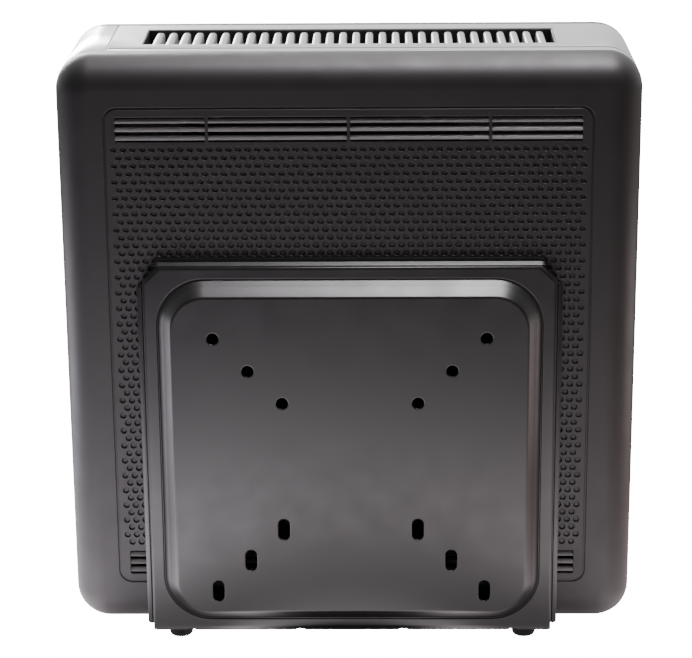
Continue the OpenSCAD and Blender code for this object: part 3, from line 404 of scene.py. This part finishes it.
def band_profile(with_line):
    """Section of the band's wall: (depth, offset from the outer surface)."""
    p = [(Y_BAND0 + 0.12, -0.5), (Y_BAND0 + 0.22, -0.16), (Y_BAND0 + 0.5, 0)]
    if with_line:
        y = Y_PANEL
        p += [(y - 0.9, 0), (y - 0.8, -0.06), (y - 0.75, -0.7), (y + 0.75, -0.7), (y + 0.8, -0.06),
              (y + 0.9, 0)]
    p += [(Y_BAND1 - 0.5, 0), (Y_BAND1 - 0.22, -0.16), (Y_BAND1 - 0.12, -0.5), (Y_BAND1 - 0.12, -SKIN),
          (Y_BAND0 + 0.12, -SKIN)]
    return p


def case_path(end, o, n=14):
    """Outline from the seam at the top, round the case's rear (1) or front (-1), to the seam below."""
    w, h, r = CASE_W / 2, CASE_H / 2, CORNER_R
    tuck = 0.25 if o > -1 else 0
    x0, cx, cz = end * X_SEAM + 0.12, w - r, h - r
    top, low = h + o, -h - o
    out = [(x0, top - tuck), (x0 + 0.3, top), (cx - 1, top)]
    out += arc(cx, cz, r + o, 90, 0, n)
    out += [(w + o, cz - 1), (w + o, -cz + 1)]
    out += arc(cx, -cz, r + o, 0, -90, n)
    out += [(cx - 1, low), (x0 + 0.3, low), (x0, low + tuck)]
    return [(end * x, z) for x, z in out]


def swept(end, profile):
    """A profile of (depth, offset) points, carried along one end's outline of the case."""
    shell = Shell()
    rings = [shell.ring([(x, y, Z_MID + z) for x, z in case_path(end, o)]) for y, o in profile]
    for a, b in zip(rings, rings[1:] + rings[:1]):
        shell.bridge(a, b, closed=False)
    shell.cap([r[0] for r in rings])
    shell.cap([r[-1] for r in rings])
    return shell


def vent_fins():
    """Fins between the top vent's slots: round-topped, and falling away towards the far edge."""
    shell = Shell()
    for i in range(VENT_SLOTS - 1):
        x = (i - (VENT_SLOTS - 2) / 2) * VENT_PITCH
        sections = []
        length = VENT_Y1 - VENT_Y0
        for t in (-0.02, 0.25, 0.5, 0.65, 0.75, 0.84, 0.92, 0.97, 1.02):
            y = VENT_Y0 + t * length
            fall = 0.12 + 0.5 * max(t, 0) + 0.8 * max(0, (t - 0.7) / 0.32) ** 3
            h = FIN_W / 2
            top = Z_TOP - fall
            sections.append([(x - h, y, Z_TOP - 6), (x - h, y, top - 1.1), (x - h + 0.12, y, top - 0.6),
                             (x - h + 0.45, y, top - 0.2), (x - h + 0.9, y, top - 0.03),
                             (x + h - 0.9, y, top - 0.03), (x + h - 0.45, y, top - 0.2),
                             (x + h - 0.12, y, top - 0.6), (x + h, y, top - 1.1), (x + h, y, Z_TOP - 6)])
        shell.prism(sections)
    return shell.mesh("fins", 50)


def panel_seam():
    """Dark strip in the line that runs round the band."""
    y = Y_PANEL
    profile = [(y - 0.72, -0.6), (y - 0.72, -0.2), (y - 0.6, -0.12), (y + 0.6, -0.12), (y + 0.72, -0.2),
               (y + 0.72, -0.6)]
    return swept(1, profile).mesh("panel_seam")


def vent_shade_liner():
    """Black sheet lining the vent's opening, under the band's skin: painted shade, put where the
    opening's walls fall in shadow.
    """
    shell = Shell()
    wall, top, low = 0.5, Z_TOP - 0.22, Z_TOP - 5.5

    def edge(inset, z):
        x, y0, y1 = VENT_X - inset, VENT_Y0 + inset, VENT_Y1 - inset
        return shell.ring([(-x, y0, z), (x, y0, z), (x, y1, z), (-x, y1, z)])

    rings = [edge(-0.02, low), edge(-0.02, top), edge(wall - 0.15, top), edge(wall, top - 0.15),
             edge(wall, low)]
    shell.stack(rings + rings[:1])
    return shell.mesh("vent_shade_liner")


def band_mesh():
    ring = swept(1, band_profile(True)).mesh("band_ring")
    cut = Shell()
    cut.box((-VENT_X, VENT_Y0, Z_TOP - 4), (VENT_X, VENT_Y1, Z_TOP + 2))
    x0, x1 = CASE_W / 2 - 6, CASE_W / 2 + 2
    cut.box((x0, REAR_OPEN_Y[0], REAR_OPEN_Z[0]), (x1, REAR_OPEN_Y[1], REAR_OPEN_Z[1]))
    rod(cut, "x", (JACK_Y, JACK_Z), x0, x1, JACK_D, 40)
    for x in SCREW_X:
        rod(cut, "z", (x, SCREW_Y), 4, 9, SCREW_D)
    return joined("band", [cut_away(ring, cut), vent_fins()])


def bezel_mesh():
    ring = swept(-1, band_profile(False)).mesh("bezel_ring")
    cut = Shell()
    x0, x1 = -CASE_W / 2 - 2, -CASE_W / 2 + 3
    cut.box((x0, FRONT_OPEN_Y[0], FRONT_OPEN_Z[0]), (x1, FRONT_OPEN_Y[1], FRONT_OPEN_Z[1]))
    return cut_away(ring, cut)


# ---------- bracket ----------

def plate_ring(grow, low=0.0):
    w, top, c = PLATE_X + grow, PLATE_TOP + grow, PLATE_CUT
    z0 = FOOT_H - grow + low
    return [(-w, z0), (w, z0), (w, top - c), (w - c, top), (c - w, top), (-w, top - c)]


def emboss_ring(u, n=12):
    return [(x, EMBOSS_Z + z) for x, z in
            rounded(EMBOSS_W - 2 * u, EMBOSS_H - 2 * u, 17 - u * 4.5 / SLOPE, n)]


def emboss_section():
    """(inset, height) across the emboss's edge: fine groove, slope with a faint crease, shoulder."""
    slant, top_r = math.atan2(EMBOSS, SLOPE), 1.3
    out = [(-1.05, 0), (-0.92, -0.04), (-0.64, -0.5), (-0.43, -0.5)]
    for f, dip in ((0.28, 0), (0.33, 0.02), (0.37, 0.02), (0.42, 0)):
        out.append((SLOPE * f + dip * math.sin(slant), EMBOSS * f - dip * math.cos(slant)))
    t = top_r * math.tan(slant / 2)
    for i in range(9):
        a = slant * (1 - i / 8)
        out.append((SLOPE + t - top_r * math.sin(a), EMBOSS - top_r * (1 - math.cos(a))))
    return out


def vesa_loops():
    """Outlines of the mounting holes: a centre, and half the length of its straight part."""
    out = []
    for p in (50, 75, 100):
        for s in (-1, 1):
            out.append((s * p / 2, VESA_Z + p / 2, 0.0))
            out.append((s * p / 2, VESA_Z - p / 2, (SLOT_LEN - HOLE_D) / 2))
    return out


def hole_ring(cx, cz, half, r, n=10):
    return arc(cx, cz + half, r, 0, 180, n) + arc(cx, cz - half, r, 180, 360, n)


def in_hole(x, z, r):
    for cx, cz, half in vesa_loops():
        dz = max(abs(z - cz) - half, 0)
        if math.hypot(x - cx, dz) < r:
            return True
    return False


def inside_poly(x, z, poly):
    odd = False
    for (x0, z0), (x1, z1) in zip(poly, poly[1:] + poly[:1]):
        if (z0 > z) != (z1 > z) and x < (x1 - x0) * (z - z0) / (z1 - z0) + x0:
            odd = not odd
    return odd


def dish_mesh():
    """Pressed plate with its flanges and emboss, one closed sheet of steel."""
    shell = Shell()

    def flat(p):
        return (p[0], p[2])

    def put(points, y):
        return shell.ring([(x, y, z) for x, z in points])

    bend = 0.9
    outer = [put(plate_ring(0), Y_NEAR)]
    for i in range(7):
        t = math.radians(15 * i)
        outer.append(put(plate_ring(-bend * (1 - math.cos(t))), Y_RIM + bend * (1 - math.sin(t))))
    outer.append(put(plate_ring(-bend - 0.3), Y_RIM))
    shell.stack(outer)
    section = emboss_section()
    walls = [put(emboss_ring(section[0][0] - 0.3), Y_RIM)]
    walls += [put(emboss_ring(u), Y_RIM - h) for u, h in section]
    walls.append(put(emboss_ring(section[-1][0] + 0.3), Y_FRONT))
    shell.stack(walls)
    low_poly, foot_poly = plate_ring(-bend - 0.3), emboss_ring(section[0][0] - 0.3)
    shell.fill([outer[-1], walls[0]], flat,
               lambda x, z: inside_poly(x, z, low_poly) and not inside_poly(x, z, foot_poly))
    # the back of the sheet
    back = [put(plate_ring(-SHEET), Y_NEAR), put(plate_ring(-SHEET), Y_RIM + SHEET)]
    shell.stack(back)
    shell.bridge(outer[0], back[0])
    wall_b = [put(emboss_ring(0.6), Y_RIM + SHEET), put(emboss_ring(SLOPE + 0.6), Y_FRONT + SHEET)]
    shell.stack(wall_b)
    shell.fill([back[-1], wall_b[0]], flat,
               lambda x, z: inside_poly(x, z, plate_ring(-SHEET))
               and not inside_poly(x, z, emboss_ring(0.6)))
    # holes through the emboss
    front_loops, back_loops = [], []
    for cx, cz, half in vesa_loops():
        r = HOLE_D / 2
        rings = [put(hole_ring(cx, cz, half, r + g), y) for g, y in
                 ((0.45, Y_FRONT), (0.22, Y_FRONT), (0.07, Y_FRONT + 0.07), (0, Y_FRONT + 0.22),
                  (0, Y_FRONT + SHEET))]
        shell.stack(rings)
        front_loops.append(rings[0])
        back_loops.append(rings[-1])
    top_poly, under_poly = emboss_ring(section[-1][0] + 0.3), emboss_ring(SLOPE + 0.6)
    shell.fill([walls[-1]] + front_loops, flat,
               lambda x, z: inside_poly(x, z, top_poly) and not in_hole(x, z, HOLE_D / 2 + 0.4))
    shell.fill([wall_b[-1]] + back_loops, flat,
               lambda x, z: inside_poly(x, z, under_poly) and not in_hole(x, z, HOLE_D / 2 - 0.02))
    return shell.mesh("dish", 40)


def top_lip(grow):
    """Lip along the top: (outward, depth), with a hollow bend where it leaves the flange."""
    wide, run = 2.4 * grow, 1.5 * grow
    y1, y0 = Y_NEAR, Y_NEAR - SHEET
    return [(-0.4, y0 - run), (0, y0 - run), (0.3 * run, y0 - 0.56 * run), (0.65 * run, y0),
            (wide - 0.18, y0), (wide, y0 + 0.12), (wide, y1), (-0.4, y1)]


def side_lip(grow):
    """Lip along a side, with a groove beside the flange and a bevelled edge."""
    wide = 2.4 * grow
    y1, y0 = Y_NEAR, Y_NEAR - SHEET
    return [(-0.4, y0 + 0.7), (0.22 * wide, y0 + 0.7), (0.27 * wide, y0 + 0.15), (0.33 * wide, y0),
            (wide - 0.9, y0), (wide, y0 + 0.6), (wide, y1), (-0.4, y1)]


def lip_meshes():
    shell = Shell()
    ends = ((0, 0.12), (0.12, 0.45), (0.5, 0.8), (1.6, 1.0))
    z0, z1 = Z_CASE + 1, PLATE_TOP - PLATE_CUT - 1.6
    for s in (-1, 1):
        rows = [(z0, 0.8), (z0 + 0.5, 1.0)] + [(z1 - d, g) for d, g in reversed(ends)]
        shell.prism([[(s * (PLATE_X + u), y, z) for u, y in side_lip(g)] for z, g in rows])
    x1 = PLATE_X - PLATE_CUT + 1.4
    rows = [(-x1 + d, g) for d, g in ends] + [(x1 - d, g) for d, g in reversed(ends)]
    shell.prism([[(x, y, PLATE_TOP + u) for u, y in top_lip(g)] for x, g in rows])
    return shell.mesh("lips", 40)


def bend_outside():
    """Cutter for the outside of the bend between the plate and the foot plate, and its notches."""
    cut = Shell()
    y, z = Y_RIM + BEND_R, FOOT_H + BEND_R
    section = [(y + 0.01, FOOT_H - 3), (Y_RIM - 3, FOOT_H - 3), (Y_RIM - 3, z + 0.01)]
    section += arc(y, z, BEND_R, 180, 270, 12)
    cut.prism([[(x, a, b) for a, b in section] for x in (-PLATE_X - 5, PLATE_X + 5)])
    return cut


def bend_inside():
    """Steel that fills the inside of the same bend, down to its inner radius."""
    shell = Shell()
    y, z, r = Y_RIM + BEND_R, FOOT_H + BEND_R, BEND_R - SHEET
    section = [(Y_RIM + SHEET - 0.1, z), (Y_RIM + SHEET - 0.1, Z_CASE - 0.1), (y, Z_CASE - 0.1)]
    section += arc(y, z, r, 270, 180, 8)
    w = PLATE_X - SHEET + 0.1
    shell.prism([[(x, a, b) for a, b in section] for x in (-w, w)])
    return shell.mesh("bend")


def notch_cutter():
    cut = Shell()
    for x in NOTCHES:
        cut.box((x - 1.5, Y_RIM - 1, FOOT_H - 1), (x + 1.5, Y_RIM + 0.9 * BEND_R, FOOT_H + NOTCH_H))
    return cut


def foot_plate():
    shell = Shell()
    y0, y1, w = Y_RIM + BEND_R - 1.5, 38.0, PLATE_X - 0.02
    section = [(-w, FOOT_H), (w, FOOT_H), (w, Z_CASE), (-w, Z_CASE)]
    shell.prism([[(x, y, z) for x, z in section] for y in (y0, y1 - 0.4)]
                + [[(x * 0.997, y1, min(max(z, FOOT_H + 0.25), Z_CASE - 0.25)) for x, z in section]])
    cut = Shell()
    for x in SCREW_X:
        rod(cut, "z", (x, SCREW_Y), 3, 7, SCREW_D)
    return cut_away(cut_away(shell.mesh("foot"), cut), notch_cutter())


def bracket_mesh():
    dish = cut_away(cut_away(dish_mesh(), bend_outside(), 40), notch_cutter(), 40)
    return joined("bracket", [dish, lip_meshes(), bend_inside(), foot_plate()], 40)


# ---------- finishes ----------

def surface(name, colour, rough, metal=0.0, **more):
    m = bpy.data.materials.new(name)
    m.use_nodes = True
    t = m.node_tree
    s = t.nodes["Principled BSDF"]
    s.inputs["Base Color"].default_value = (*colour, 1)
    s.inputs["Roughness"].default_value = rough
    s.inputs["Metallic"].default_value = metal
    for k, v in more.items():
        s.inputs[k.replace("_", " ")].default_value = v
    return m


def noise(m, scale, detail=4.0, stretch=None, kind="TEX_NOISE"):
    t = m.node_tree
    at = t.nodes.new("ShaderNodeTexCoord")
    out = at.outputs["Object"]
    if stretch:
        mp = t.nodes.new("ShaderNodeMapping")
        mp.inputs["Scale"].default_value = stretch
        t.links.new(out, mp.inputs["Vector"])
        out = mp.outputs["Vector"]
    if kind == "TEX_VORONOI":
        n = t.nodes.new("ShaderNodeTexVoronoi")
        n.inputs["Scale"].default_value = scale
        t.links.new(out, n.inputs["Vector"])
        return n.outputs["Distance"]
    n = t.nodes.new("ShaderNodeTexNoise")
    n.inputs["Scale"].default_value = scale
    n.inputs["Detail"].default_value = detail
    t.links.new(out, n.inputs["Vector"])
    return n.outputs["Fac"]


def vary(m, socket, source, low, high, lo_in=0.3, hi_in=0.7):
    """Drives a colour or a number on the shader between two values by a pattern."""
    t = m.node_tree
    s = t.nodes["Principled BSDF"]
    if isinstance(low, tuple):
        r = t.nodes.new("ShaderNodeValToRGB")
        r.color_ramp.elements[0].position, r.color_ramp.elements[1].position = lo_in, hi_in
        r.color_ramp.elements[0].color, r.color_ramp.elements[1].color = (*low, 1), (*high, 1)
        t.links.new(source, r.inputs["Fac"])
        t.links.new(r.outputs["Color"], s.inputs[socket])
        return
    r = t.nodes.new("ShaderNodeMapRange")
    for k, v in (("From Min", lo_in), ("From Max", hi_in), ("To Min", low), ("To Max", high)):
        r.inputs[k].default_value = v
    t.links.new(source, r.inputs["Value"])
    t.links.new(r.outputs["Result"], s.inputs[socket])


def bump(m, source, strength, depth):
    t = m.node_tree
    b = t.nodes.new("ShaderNodeBump")
    b.inputs["Strength"].default_value = strength
    b.inputs["Distance"].default_value = depth
    t.links.new(source, b.inputs["Height"])
    t.links.new(b.outputs["Normal"], t.nodes["Principled BSDF"].inputs["Normal"])


def moulded(name, dark, light, rough, grain, strength, **more):
    """Moulded or sprayed finish: fine grain, and slow drifts of tone and gloss."""
    m = surface(name, light, rough[0], **more)
    vary(m, "Base Color", noise(m, 35, 3), dark, light)
    vary(m, "Roughness", noise(m, 90, 4), rough[0], rough[1])
    bump(m, noise(m, grain, 2), strength, 0.00004)
    return m


def brushed(name, dark, light, rough, stretch, strength=0.25, **more):
    """Rolled or brushed metal, with fine lines along one axis."""
    m = surface(name, light, rough[0], 1.0, **more)
    lines = noise(m, 900, 3, stretch)
    vary(m, "Base Color", noise(m, 60, 3), dark, light)
    vary(m, "Roughness", lines, rough[0], rough[1])
    bump(m, lines, strength, 0.00002)
    return m


def board_finish():
    """Circuit board: solder mask with a net of fine tracks under it."""
    m = surface("circuit_board_finish", (0.01, 0.09, 0.05), 0.35, IOR=1.5)
    tracks = noise(m, 420, 1, (1, 1, 0.25))
    vary(m, "Base Color", tracks, (0.004, 0.05, 0.028), (0.012, 0.13, 0.065), 0.45, 0.52)
    vary(m, "Roughness", noise(m, 200), 0.28, 0.42)
    bump(m, tracks, 0.3, 0.00003)
    return m


def finishes():
    out = {}
    out["cover_plastic"] = moulded("cover_finish", (0.015, 0.0128, 0.0135), (0.018, 0.0154, 0.0162),
                                   (0.46, 0.54), 2600, 0.22, IOR=1.74)
    # Louvre bars: smoother than the cover plastic and far lighter in colour. The lighter colour is a
    # painted highlight, standing for the top light's reflection on the bars.
    out["smooth_painted_highlight_plastic"] = moulded("smooth_painted_highlight_finish", (0.27, 0.255, 0.262), (0.29, 0.275, 0.28),
                                    (0.3, 0.36), 2600, 0.1, IOR=2.0)
    out["bracket_paint"] = moulded("bracket_finish", (0.0105, 0.0094, 0.0098), (0.0125, 0.0112, 0.0116),
                                   (0.3, 0.37), 1900, 0.25, IOR=1.84)
    out["band_plastic"] = moulded("band_finish", (0.50, 0.49, 0.49), (0.54, 0.53, 0.525),
                                  (0.34, 0.42), 2400, 0.12, metal=0.35)
    out["bezel_plastic"] = moulded("bezel_finish", (0.90, 0.885, 0.89), (0.94, 0.93, 0.93),
                                   (0.16, 0.24), 2400, 0.08, metal=0.5)
    out["gloss_insert"] = moulded("insert_finish", (0.006, 0.006, 0.007), (0.009, 0.009, 0.01),
                                  (0.06, 0.12), 60, 0.03, Coat_Weight=0.6)
    out["button_metal"] = brushed("button_finish", (0.5, 0.5, 0.51), (0.62, 0.62, 0.63),
                                  (0.22, 0.38), (1, 6, 0.2))
    m = moulded("light_finish", (0.75, 0.82, 0.9), (0.85, 0.9, 0.96), (0.1, 0.16), 300, 0.05, IOR=1.49)
    m.node_tree.nodes["Principled BSDF"].inputs["Transmission Weight"].default_value = 0.6
    out["clear_plastic"] = m
    out["circuit_board"] = board_finish()
    out["connector_steel"] = brushed("connector_finish", (0.58, 0.57, 0.55), (0.7, 0.69, 0.67),
                                     (0.2, 0.34), (0.3, 1, 1))
    out["black_plastic"] = moulded("black_finish", (0.008, 0.008, 0.008), (0.014, 0.014, 0.014),
                                   (0.42, 0.55), 1500, 0.2)
    out["natural_plastic"] = moulded("natural_finish", (0.6, 0.57, 0.48), (0.68, 0.65, 0.57),
                                     (0.4, 0.52), 1500, 0.15, Subsurface_Weight=0.1)
    m = surface("zinc_finish", (0.55, 0.55, 0.54), 0.36, 1.0)
    spangle = noise(m, 190, kind="TEX_VORONOI")
    vary(m, "Base Color", spangle, (0.42, 0.43, 0.44), (0.6, 0.6, 0.6), 0.0, 0.8)
    vary(m, "Roughness", spangle, 0.3, 0.46, 0.0, 0.9)
    bump(m, noise(m, 700), 0.1, 0.00003)
    out["zinc_steel"] = m
    out["brass"] = brushed("brass_finish", (0.6, 0.42, 0.17), (0.72, 0.53, 0.24),
                           (0.25, 0.4), (1, 1, 0.3))
    out["aluminium"] = brushed("aluminium_finish", (0.6, 0.61, 0.62), (0.75, 0.75, 0.76),
                               (0.25, 0.42), (0.2, 1, 1))
    out["processor_metal"] = brushed("processor_finish", (0.5, 0.5, 0.49), (0.62, 0.62, 0.6),
                                     (0.28, 0.4), (1, 1, 0.2))
    out["dark_aluminium"] = brushed("dark_aluminium_finish", (0.05, 0.055, 0.07), (0.09, 0.095, 0.11),
                                    (0.32, 0.45), (0.2, 1, 1))
    out["ferrite"] = moulded("ferrite_finish", (0.05, 0.052, 0.055), (0.09, 0.09, 0.092),
                             (0.6, 0.75), 1200, 0.4)
    out["red_cable"] = moulded("red_cable_finish", (0.32, 0.012, 0.012), (0.42, 0.02, 0.018),
                               (0.4, 0.5), 900, 0.15)
    out["black_cable"] = moulded("black_cable_finish", (0.01, 0.01, 0.01), (0.018, 0.018, 0.018),
                                 (0.42, 0.55), 900, 0.15)
    out["rubber"] = moulded("rubber_finish", (0.012, 0.012, 0.012), (0.02, 0.02, 0.02),
                            (0.65, 0.8), 1400, 0.4)
    return out


FINISH = finishes()


def dress_nodes():
    """Gives every CAD node that stays in view the finish of its material slot."""
    for entry in frame["record"]["subparts"]:
        node = NODES[entry["node"]]
        node.data.materials.clear()
        node.data.materials.append(FINISH[entry["material_slot"]])


# ---------- the object ----------

piece("vesa_cover_shell", cover_mesh("vesa_cover_shell", Y_BAND0, -1), "case", "cover_plastic",
      ["vesa_side_cover"])
piece("access_cover_shell", cover_mesh("access_cover_shell", Y_BAND1, 1), "case", "cover_plastic",
      ["access_side_cover"])
# The louvre bars carry a lighter finish than their cover: a painted highlight on them, in place of the
# top light's reflection.
piece("vesa_louvre_bars", louvre_bars("vesa_louvre_bars", Y_BAND0, -1), "case", "cover_plastic",
      finish="smooth_painted_highlight_plastic")
piece("access_louvre_bars", louvre_bars("access_louvre_bars", Y_BAND1, 1), "case", "cover_plastic",
      finish="smooth_painted_highlight_plastic")
piece("band_shell", band_mesh(), "case", "band_plastic", ["case_band"])
piece("panel_seam", panel_seam(), "case", "black_plastic")
# Black lining in the vent: painted shade on the opening's walls.
piece("vent_shade_liner", vent_shade_liner(), "case", "black_plastic")
piece("bezel_shell", bezel_mesh(), "case", "bezel_plastic", ["front_bezel"])
piece("bracket_shell", bracket_mesh(), "case", "bracket_paint", ["vesa_bracket"])
dress_nodes()


# ---------- floor, light and camera ----------

WHITE = 20.0

# The floor gives off an uneven pool of light to every ray but the camera's. It is the product of three
# ramps of (place in metres, brightness): outwards from the middle, along Y, and across X.
POOL_LIGHT, POOL_OVAL, LEAN = 3.8, (1, 0.7, 1), 0.3
RAMP_SHIFT = 0.8
NEAR_SHADE = ((0.0, 0.0), (0.034, 0.02), (0.049, 1.0), (0.064, 0.32), (0.09, 0.28), (0.12, 1.45),
              (0.2, 1.0))
ALONG = ((-0.7, 0.01), (-0.55, 0.02), (-0.42, 0.078), (-0.3, 0.37), (-0.18, 0.85), (-0.08, 1.0),
         (0.06, 1.0), (0.16, 0.3), (0.3, 0.03))
ACROSS = ((-0.75, (0.01, 0.01, 0.01)), (-0.6, (0.03, 0.03, 0.03)), (-0.48, (0.12, 0.115, 0.12)),
          (-0.36, (0.35, 0.33, 0.36)), (-0.26, (0.62, 0.58, 0.63)), (-0.18, (0.74, 0.69, 0.74)),
          (-0.12, (0.74, 0.69, 0.73)), (-0.06, (0.58, 0.54, 0.565)), (0.05, (0.5, 0.455, 0.465)),
          (0.16, (0.28, 0.23, 0.235)), (0.38, (0.5, 0.37, 0.35)), (0.6, (0.12, 0.09, 0.085)))

# The world as every ray but the camera's meets it: dim in front, bright behind.
WORLD_DIM, WORLD_BRIGHT = (0.4, (0.06, 0.058, 0.06, 1)), (0.82, (1.15, 1.13, 1.13, 1))

# Camera: focal length in pixels of a picture 692 wide, turns in degrees, and place in millimetres.
PICTURE_W, FOCAL, SENSOR = 692, 2434.1, 36
CAMERA_TURNS, CAMERA_PLACE = (18.058, 0.962, -0.452), (12.86, -884.99, 402.14)


def ramp_node(t, source, stops):
    """Brightness along a value, through (place, brightness) stops."""
    r = t.nodes.new("ShaderNodeValToRGB")
    e = r.color_ramp.elements
    while len(e) < len(stops):
        e.new(0.5)
    for k, (at, v) in enumerate(stops):
        e[k].position, e[k].color = at, (*(v if isinstance(v, tuple) else (v, v, v)), 1)
    r.color_ramp.interpolation = "EASE"
    t.links.new(source, r.inputs["Fac"])
    return r.outputs["Color"]


def pool_light(t):
    """Colour of the light that the floor gives off, by place."""
    new = t.nodes.new
    at, split, far = new("ShaderNodeTexCoord"), new("ShaderNodeSeparateXYZ"), new("ShaderNodeVectorMath")
    oval, lean = new("ShaderNodeVectorMath"), new("ShaderNodeVectorMath")
    far.operation, oval.operation, lean.operation = "LENGTH", "MULTIPLY", "DOT_PRODUCT"
    oval.inputs[1].default_value = POOL_OVAL
    lean.inputs[1].default_value = (1, LEAN, 0)
    for node in (oval, split, lean):
        t.links.new(at.outputs["Object"], node.inputs[0])
    t.links.new(oval.outputs["Vector"], far.inputs[0])
    light = ramp_node(t, far.outputs["Value"], NEAR_SHADE)
    for source, stops in ((split.outputs["Y"], ALONG), (lean.outputs["Value"], ACROSS)):
        shift, both = new("ShaderNodeMath"), new("ShaderNodeMixRGB")
        shift.inputs[1].default_value = RAMP_SHIFT
        t.links.new(source, shift.inputs[0])
        both.blend_type = "MULTIPLY"
        both.inputs["Fac"].default_value = 1
        t.links.new(light, both.inputs["Color1"])
        ramp = ramp_node(t, shift.outputs["Value"], [(p + RAMP_SHIFT, v) for p, v in stops])
        t.links.new(ramp, both.inputs["Color2"])
        light = both.outputs["Color"]
    return light


def studio_floor():
    """Floor: plain white to the camera, and an uneven pool of light to everything else."""
    m = bpy.data.meshes.new("floor")
    x, y0, y1 = 1.2, -1.0, 1.2
    m.from_pydata([(-x, y0, 0), (x, y0, 0), (x, y1, 0), (-x, y1, 0)], [], [(0, 1, 2, 3)])
    o = bpy.data.objects.new("floor", m)
    bpy.context.scene.collection.objects.link(o)
    mat = surface("floor_finish", (0.86, 0.86, 0.86), 0.7)
    t = mat.node_tree
    path, glow, low, mix = (t.nodes.new("ShaderNode" + k) for k in
                            ("LightPath", "Emission", "Emission", "MixShader"))
    glow.inputs["Strength"].default_value = WHITE
    low.inputs["Strength"].default_value = POOL_LIGHT
    t.links.new(pool_light(t), low.inputs["Color"])
    t.links.new(path.outputs["Is Camera Ray"], mix.inputs["Fac"])
    t.links.new(low.outputs["Emission"], mix.inputs[1])
    t.links.new(glow.outputs["Emission"], mix.inputs[2])
    t.links.new(mix.outputs["Shader"], t.nodes["Material Output"].inputs["Surface"])
    o.data.materials.append(mat)


def lamp(name, place, target, size, watts, colour=(1, 1, 1)):
    """Soft rectangular lamp at a place, aimed at a target."""
    data = bpy.data.lights.new(name, "AREA")
    data.shape = "RECTANGLE"
    data.size, data.size_y = size
    data.energy, data.color = watts, colour
    o = bpy.data.objects.new(name, data)
    bpy.context.scene.collection.objects.link(o)
    o.location = place
    o.rotation_euler = (Vector(target) - Vector(place)).to_track_quat("-Z", "Y").to_euler()


def studio_world():
    """World: plain white to the camera, and a dim studio to everything else."""
    w = bpy.data.worlds.new("studio")
    bpy.context.scene.world = w
    w.use_nodes = True
    t = w.node_tree
    t.nodes.clear()
    path = t.nodes.new("ShaderNodeLightPath")
    seen, lit = t.nodes.new("ShaderNodeBackground"), t.nodes.new("ShaderNodeBackground")
    seen.inputs["Color"].default_value = (1, 1, 1, 1)
    seen.inputs["Strength"].default_value = WHITE
    at = t.nodes.new("ShaderNodeTexCoord")
    split = t.nodes.new("ShaderNodeSeparateXYZ")
    ramp = t.nodes.new("ShaderNodeValToRGB")
    t.links.new(at.outputs["Generated"], split.inputs["Vector"])
    back = t.nodes.new("ShaderNodeMapRange")
    back.inputs["From Min"].default_value, back.inputs["From Max"].default_value = -1, 1
    t.links.new(split.outputs["Y"], back.inputs["Value"])
    t.links.new(back.outputs["Result"], ramp.inputs["Fac"])
    for e, (place, colour) in zip(ramp.color_ramp.elements, (WORLD_DIM, WORLD_BRIGHT)):
        e.position, e.color = place, colour
    t.links.new(ramp.outputs["Color"], lit.inputs["Color"])
    mix, out = t.nodes.new("ShaderNodeMixShader"), t.nodes.new("ShaderNodeOutputWorld")
    t.links.new(path.outputs["Is Camera Ray"], mix.inputs["Fac"])
    t.links.new(lit.outputs["Background"], mix.inputs[1])
    t.links.new(seen.outputs["Background"], mix.inputs[2])
    t.links.new(mix.outputs["Shader"], out.inputs["Surface"])


def camera():
    """Photograph's viewpoint: a long lens, looking down at the bracket side."""
    data = bpy.data.cameras.new("camera")
    o = bpy.data.objects.new("camera", data)
    bpy.context.scene.collection.objects.link(o)
    data.sensor_width, data.lens = SENSOR, FOCAL / PICTURE_W * SENSOR
    (cp, sp), (cy, sy), (cr, sr) = ((math.cos(math.radians(a)), math.sin(math.radians(a)))
                                    for a in CAMERA_TURNS)
    axes = Matrix(((1, 0, 0), (0, 0, -1), (0, 1, 0)))
    turn_y = Matrix(((cy, 0, sy), (0, 1, 0), (-sy, 0, cy)))
    turn_x = Matrix(((1, 0, 0), (0, cp, -sp), (0, sp, cp)))
    turn_z = Matrix(((cr, -sr, 0), (sr, cr, 0), (0, 0, 1)))
    r = turn_z @ turn_x @ turn_y @ axes
    side, up, back = r[0], -r[1], -r[2]
    m = Matrix((side, up, back)).transposed().to_4x4()
    m.translation = Vector(CAMERA_PLACE) * MM
    o.matrix_world = m
    data.clip_start, data.clip_end = 0.05, 20
    bpy.context.scene.camera = o


studio_floor()
studio_world()
lamp("top_light", (0.16, -0.1, 0.95), (0.14, -0.08, 0.1), (0.4, 0.34), 6.9, (1, 0.965, 1.0))
lamp("fill_light", (0.1, 0.48, 1.05), (0.08, 0.05, 0.1), (0.4, 0.5), 3.0, (1, 0.97, 1.0))
lamp("back_card", (-0.52, 1.2, 0.5), (-0.1, 0, 0.2), (0.55, 0.5), 26)
lamp("left_card", (-0.27, 0.03, 0.06), (-0.1, 0.02, 0.07), (0.16, 0.12), 0.16, (1, 0.96, 1.08))
lamp("right_card", (0.27, 0.03, 0.06), (0.1, 0.02, 0.07), (0.16, 0.12), 0.08, (1, 0.9, 0.88))
camera()
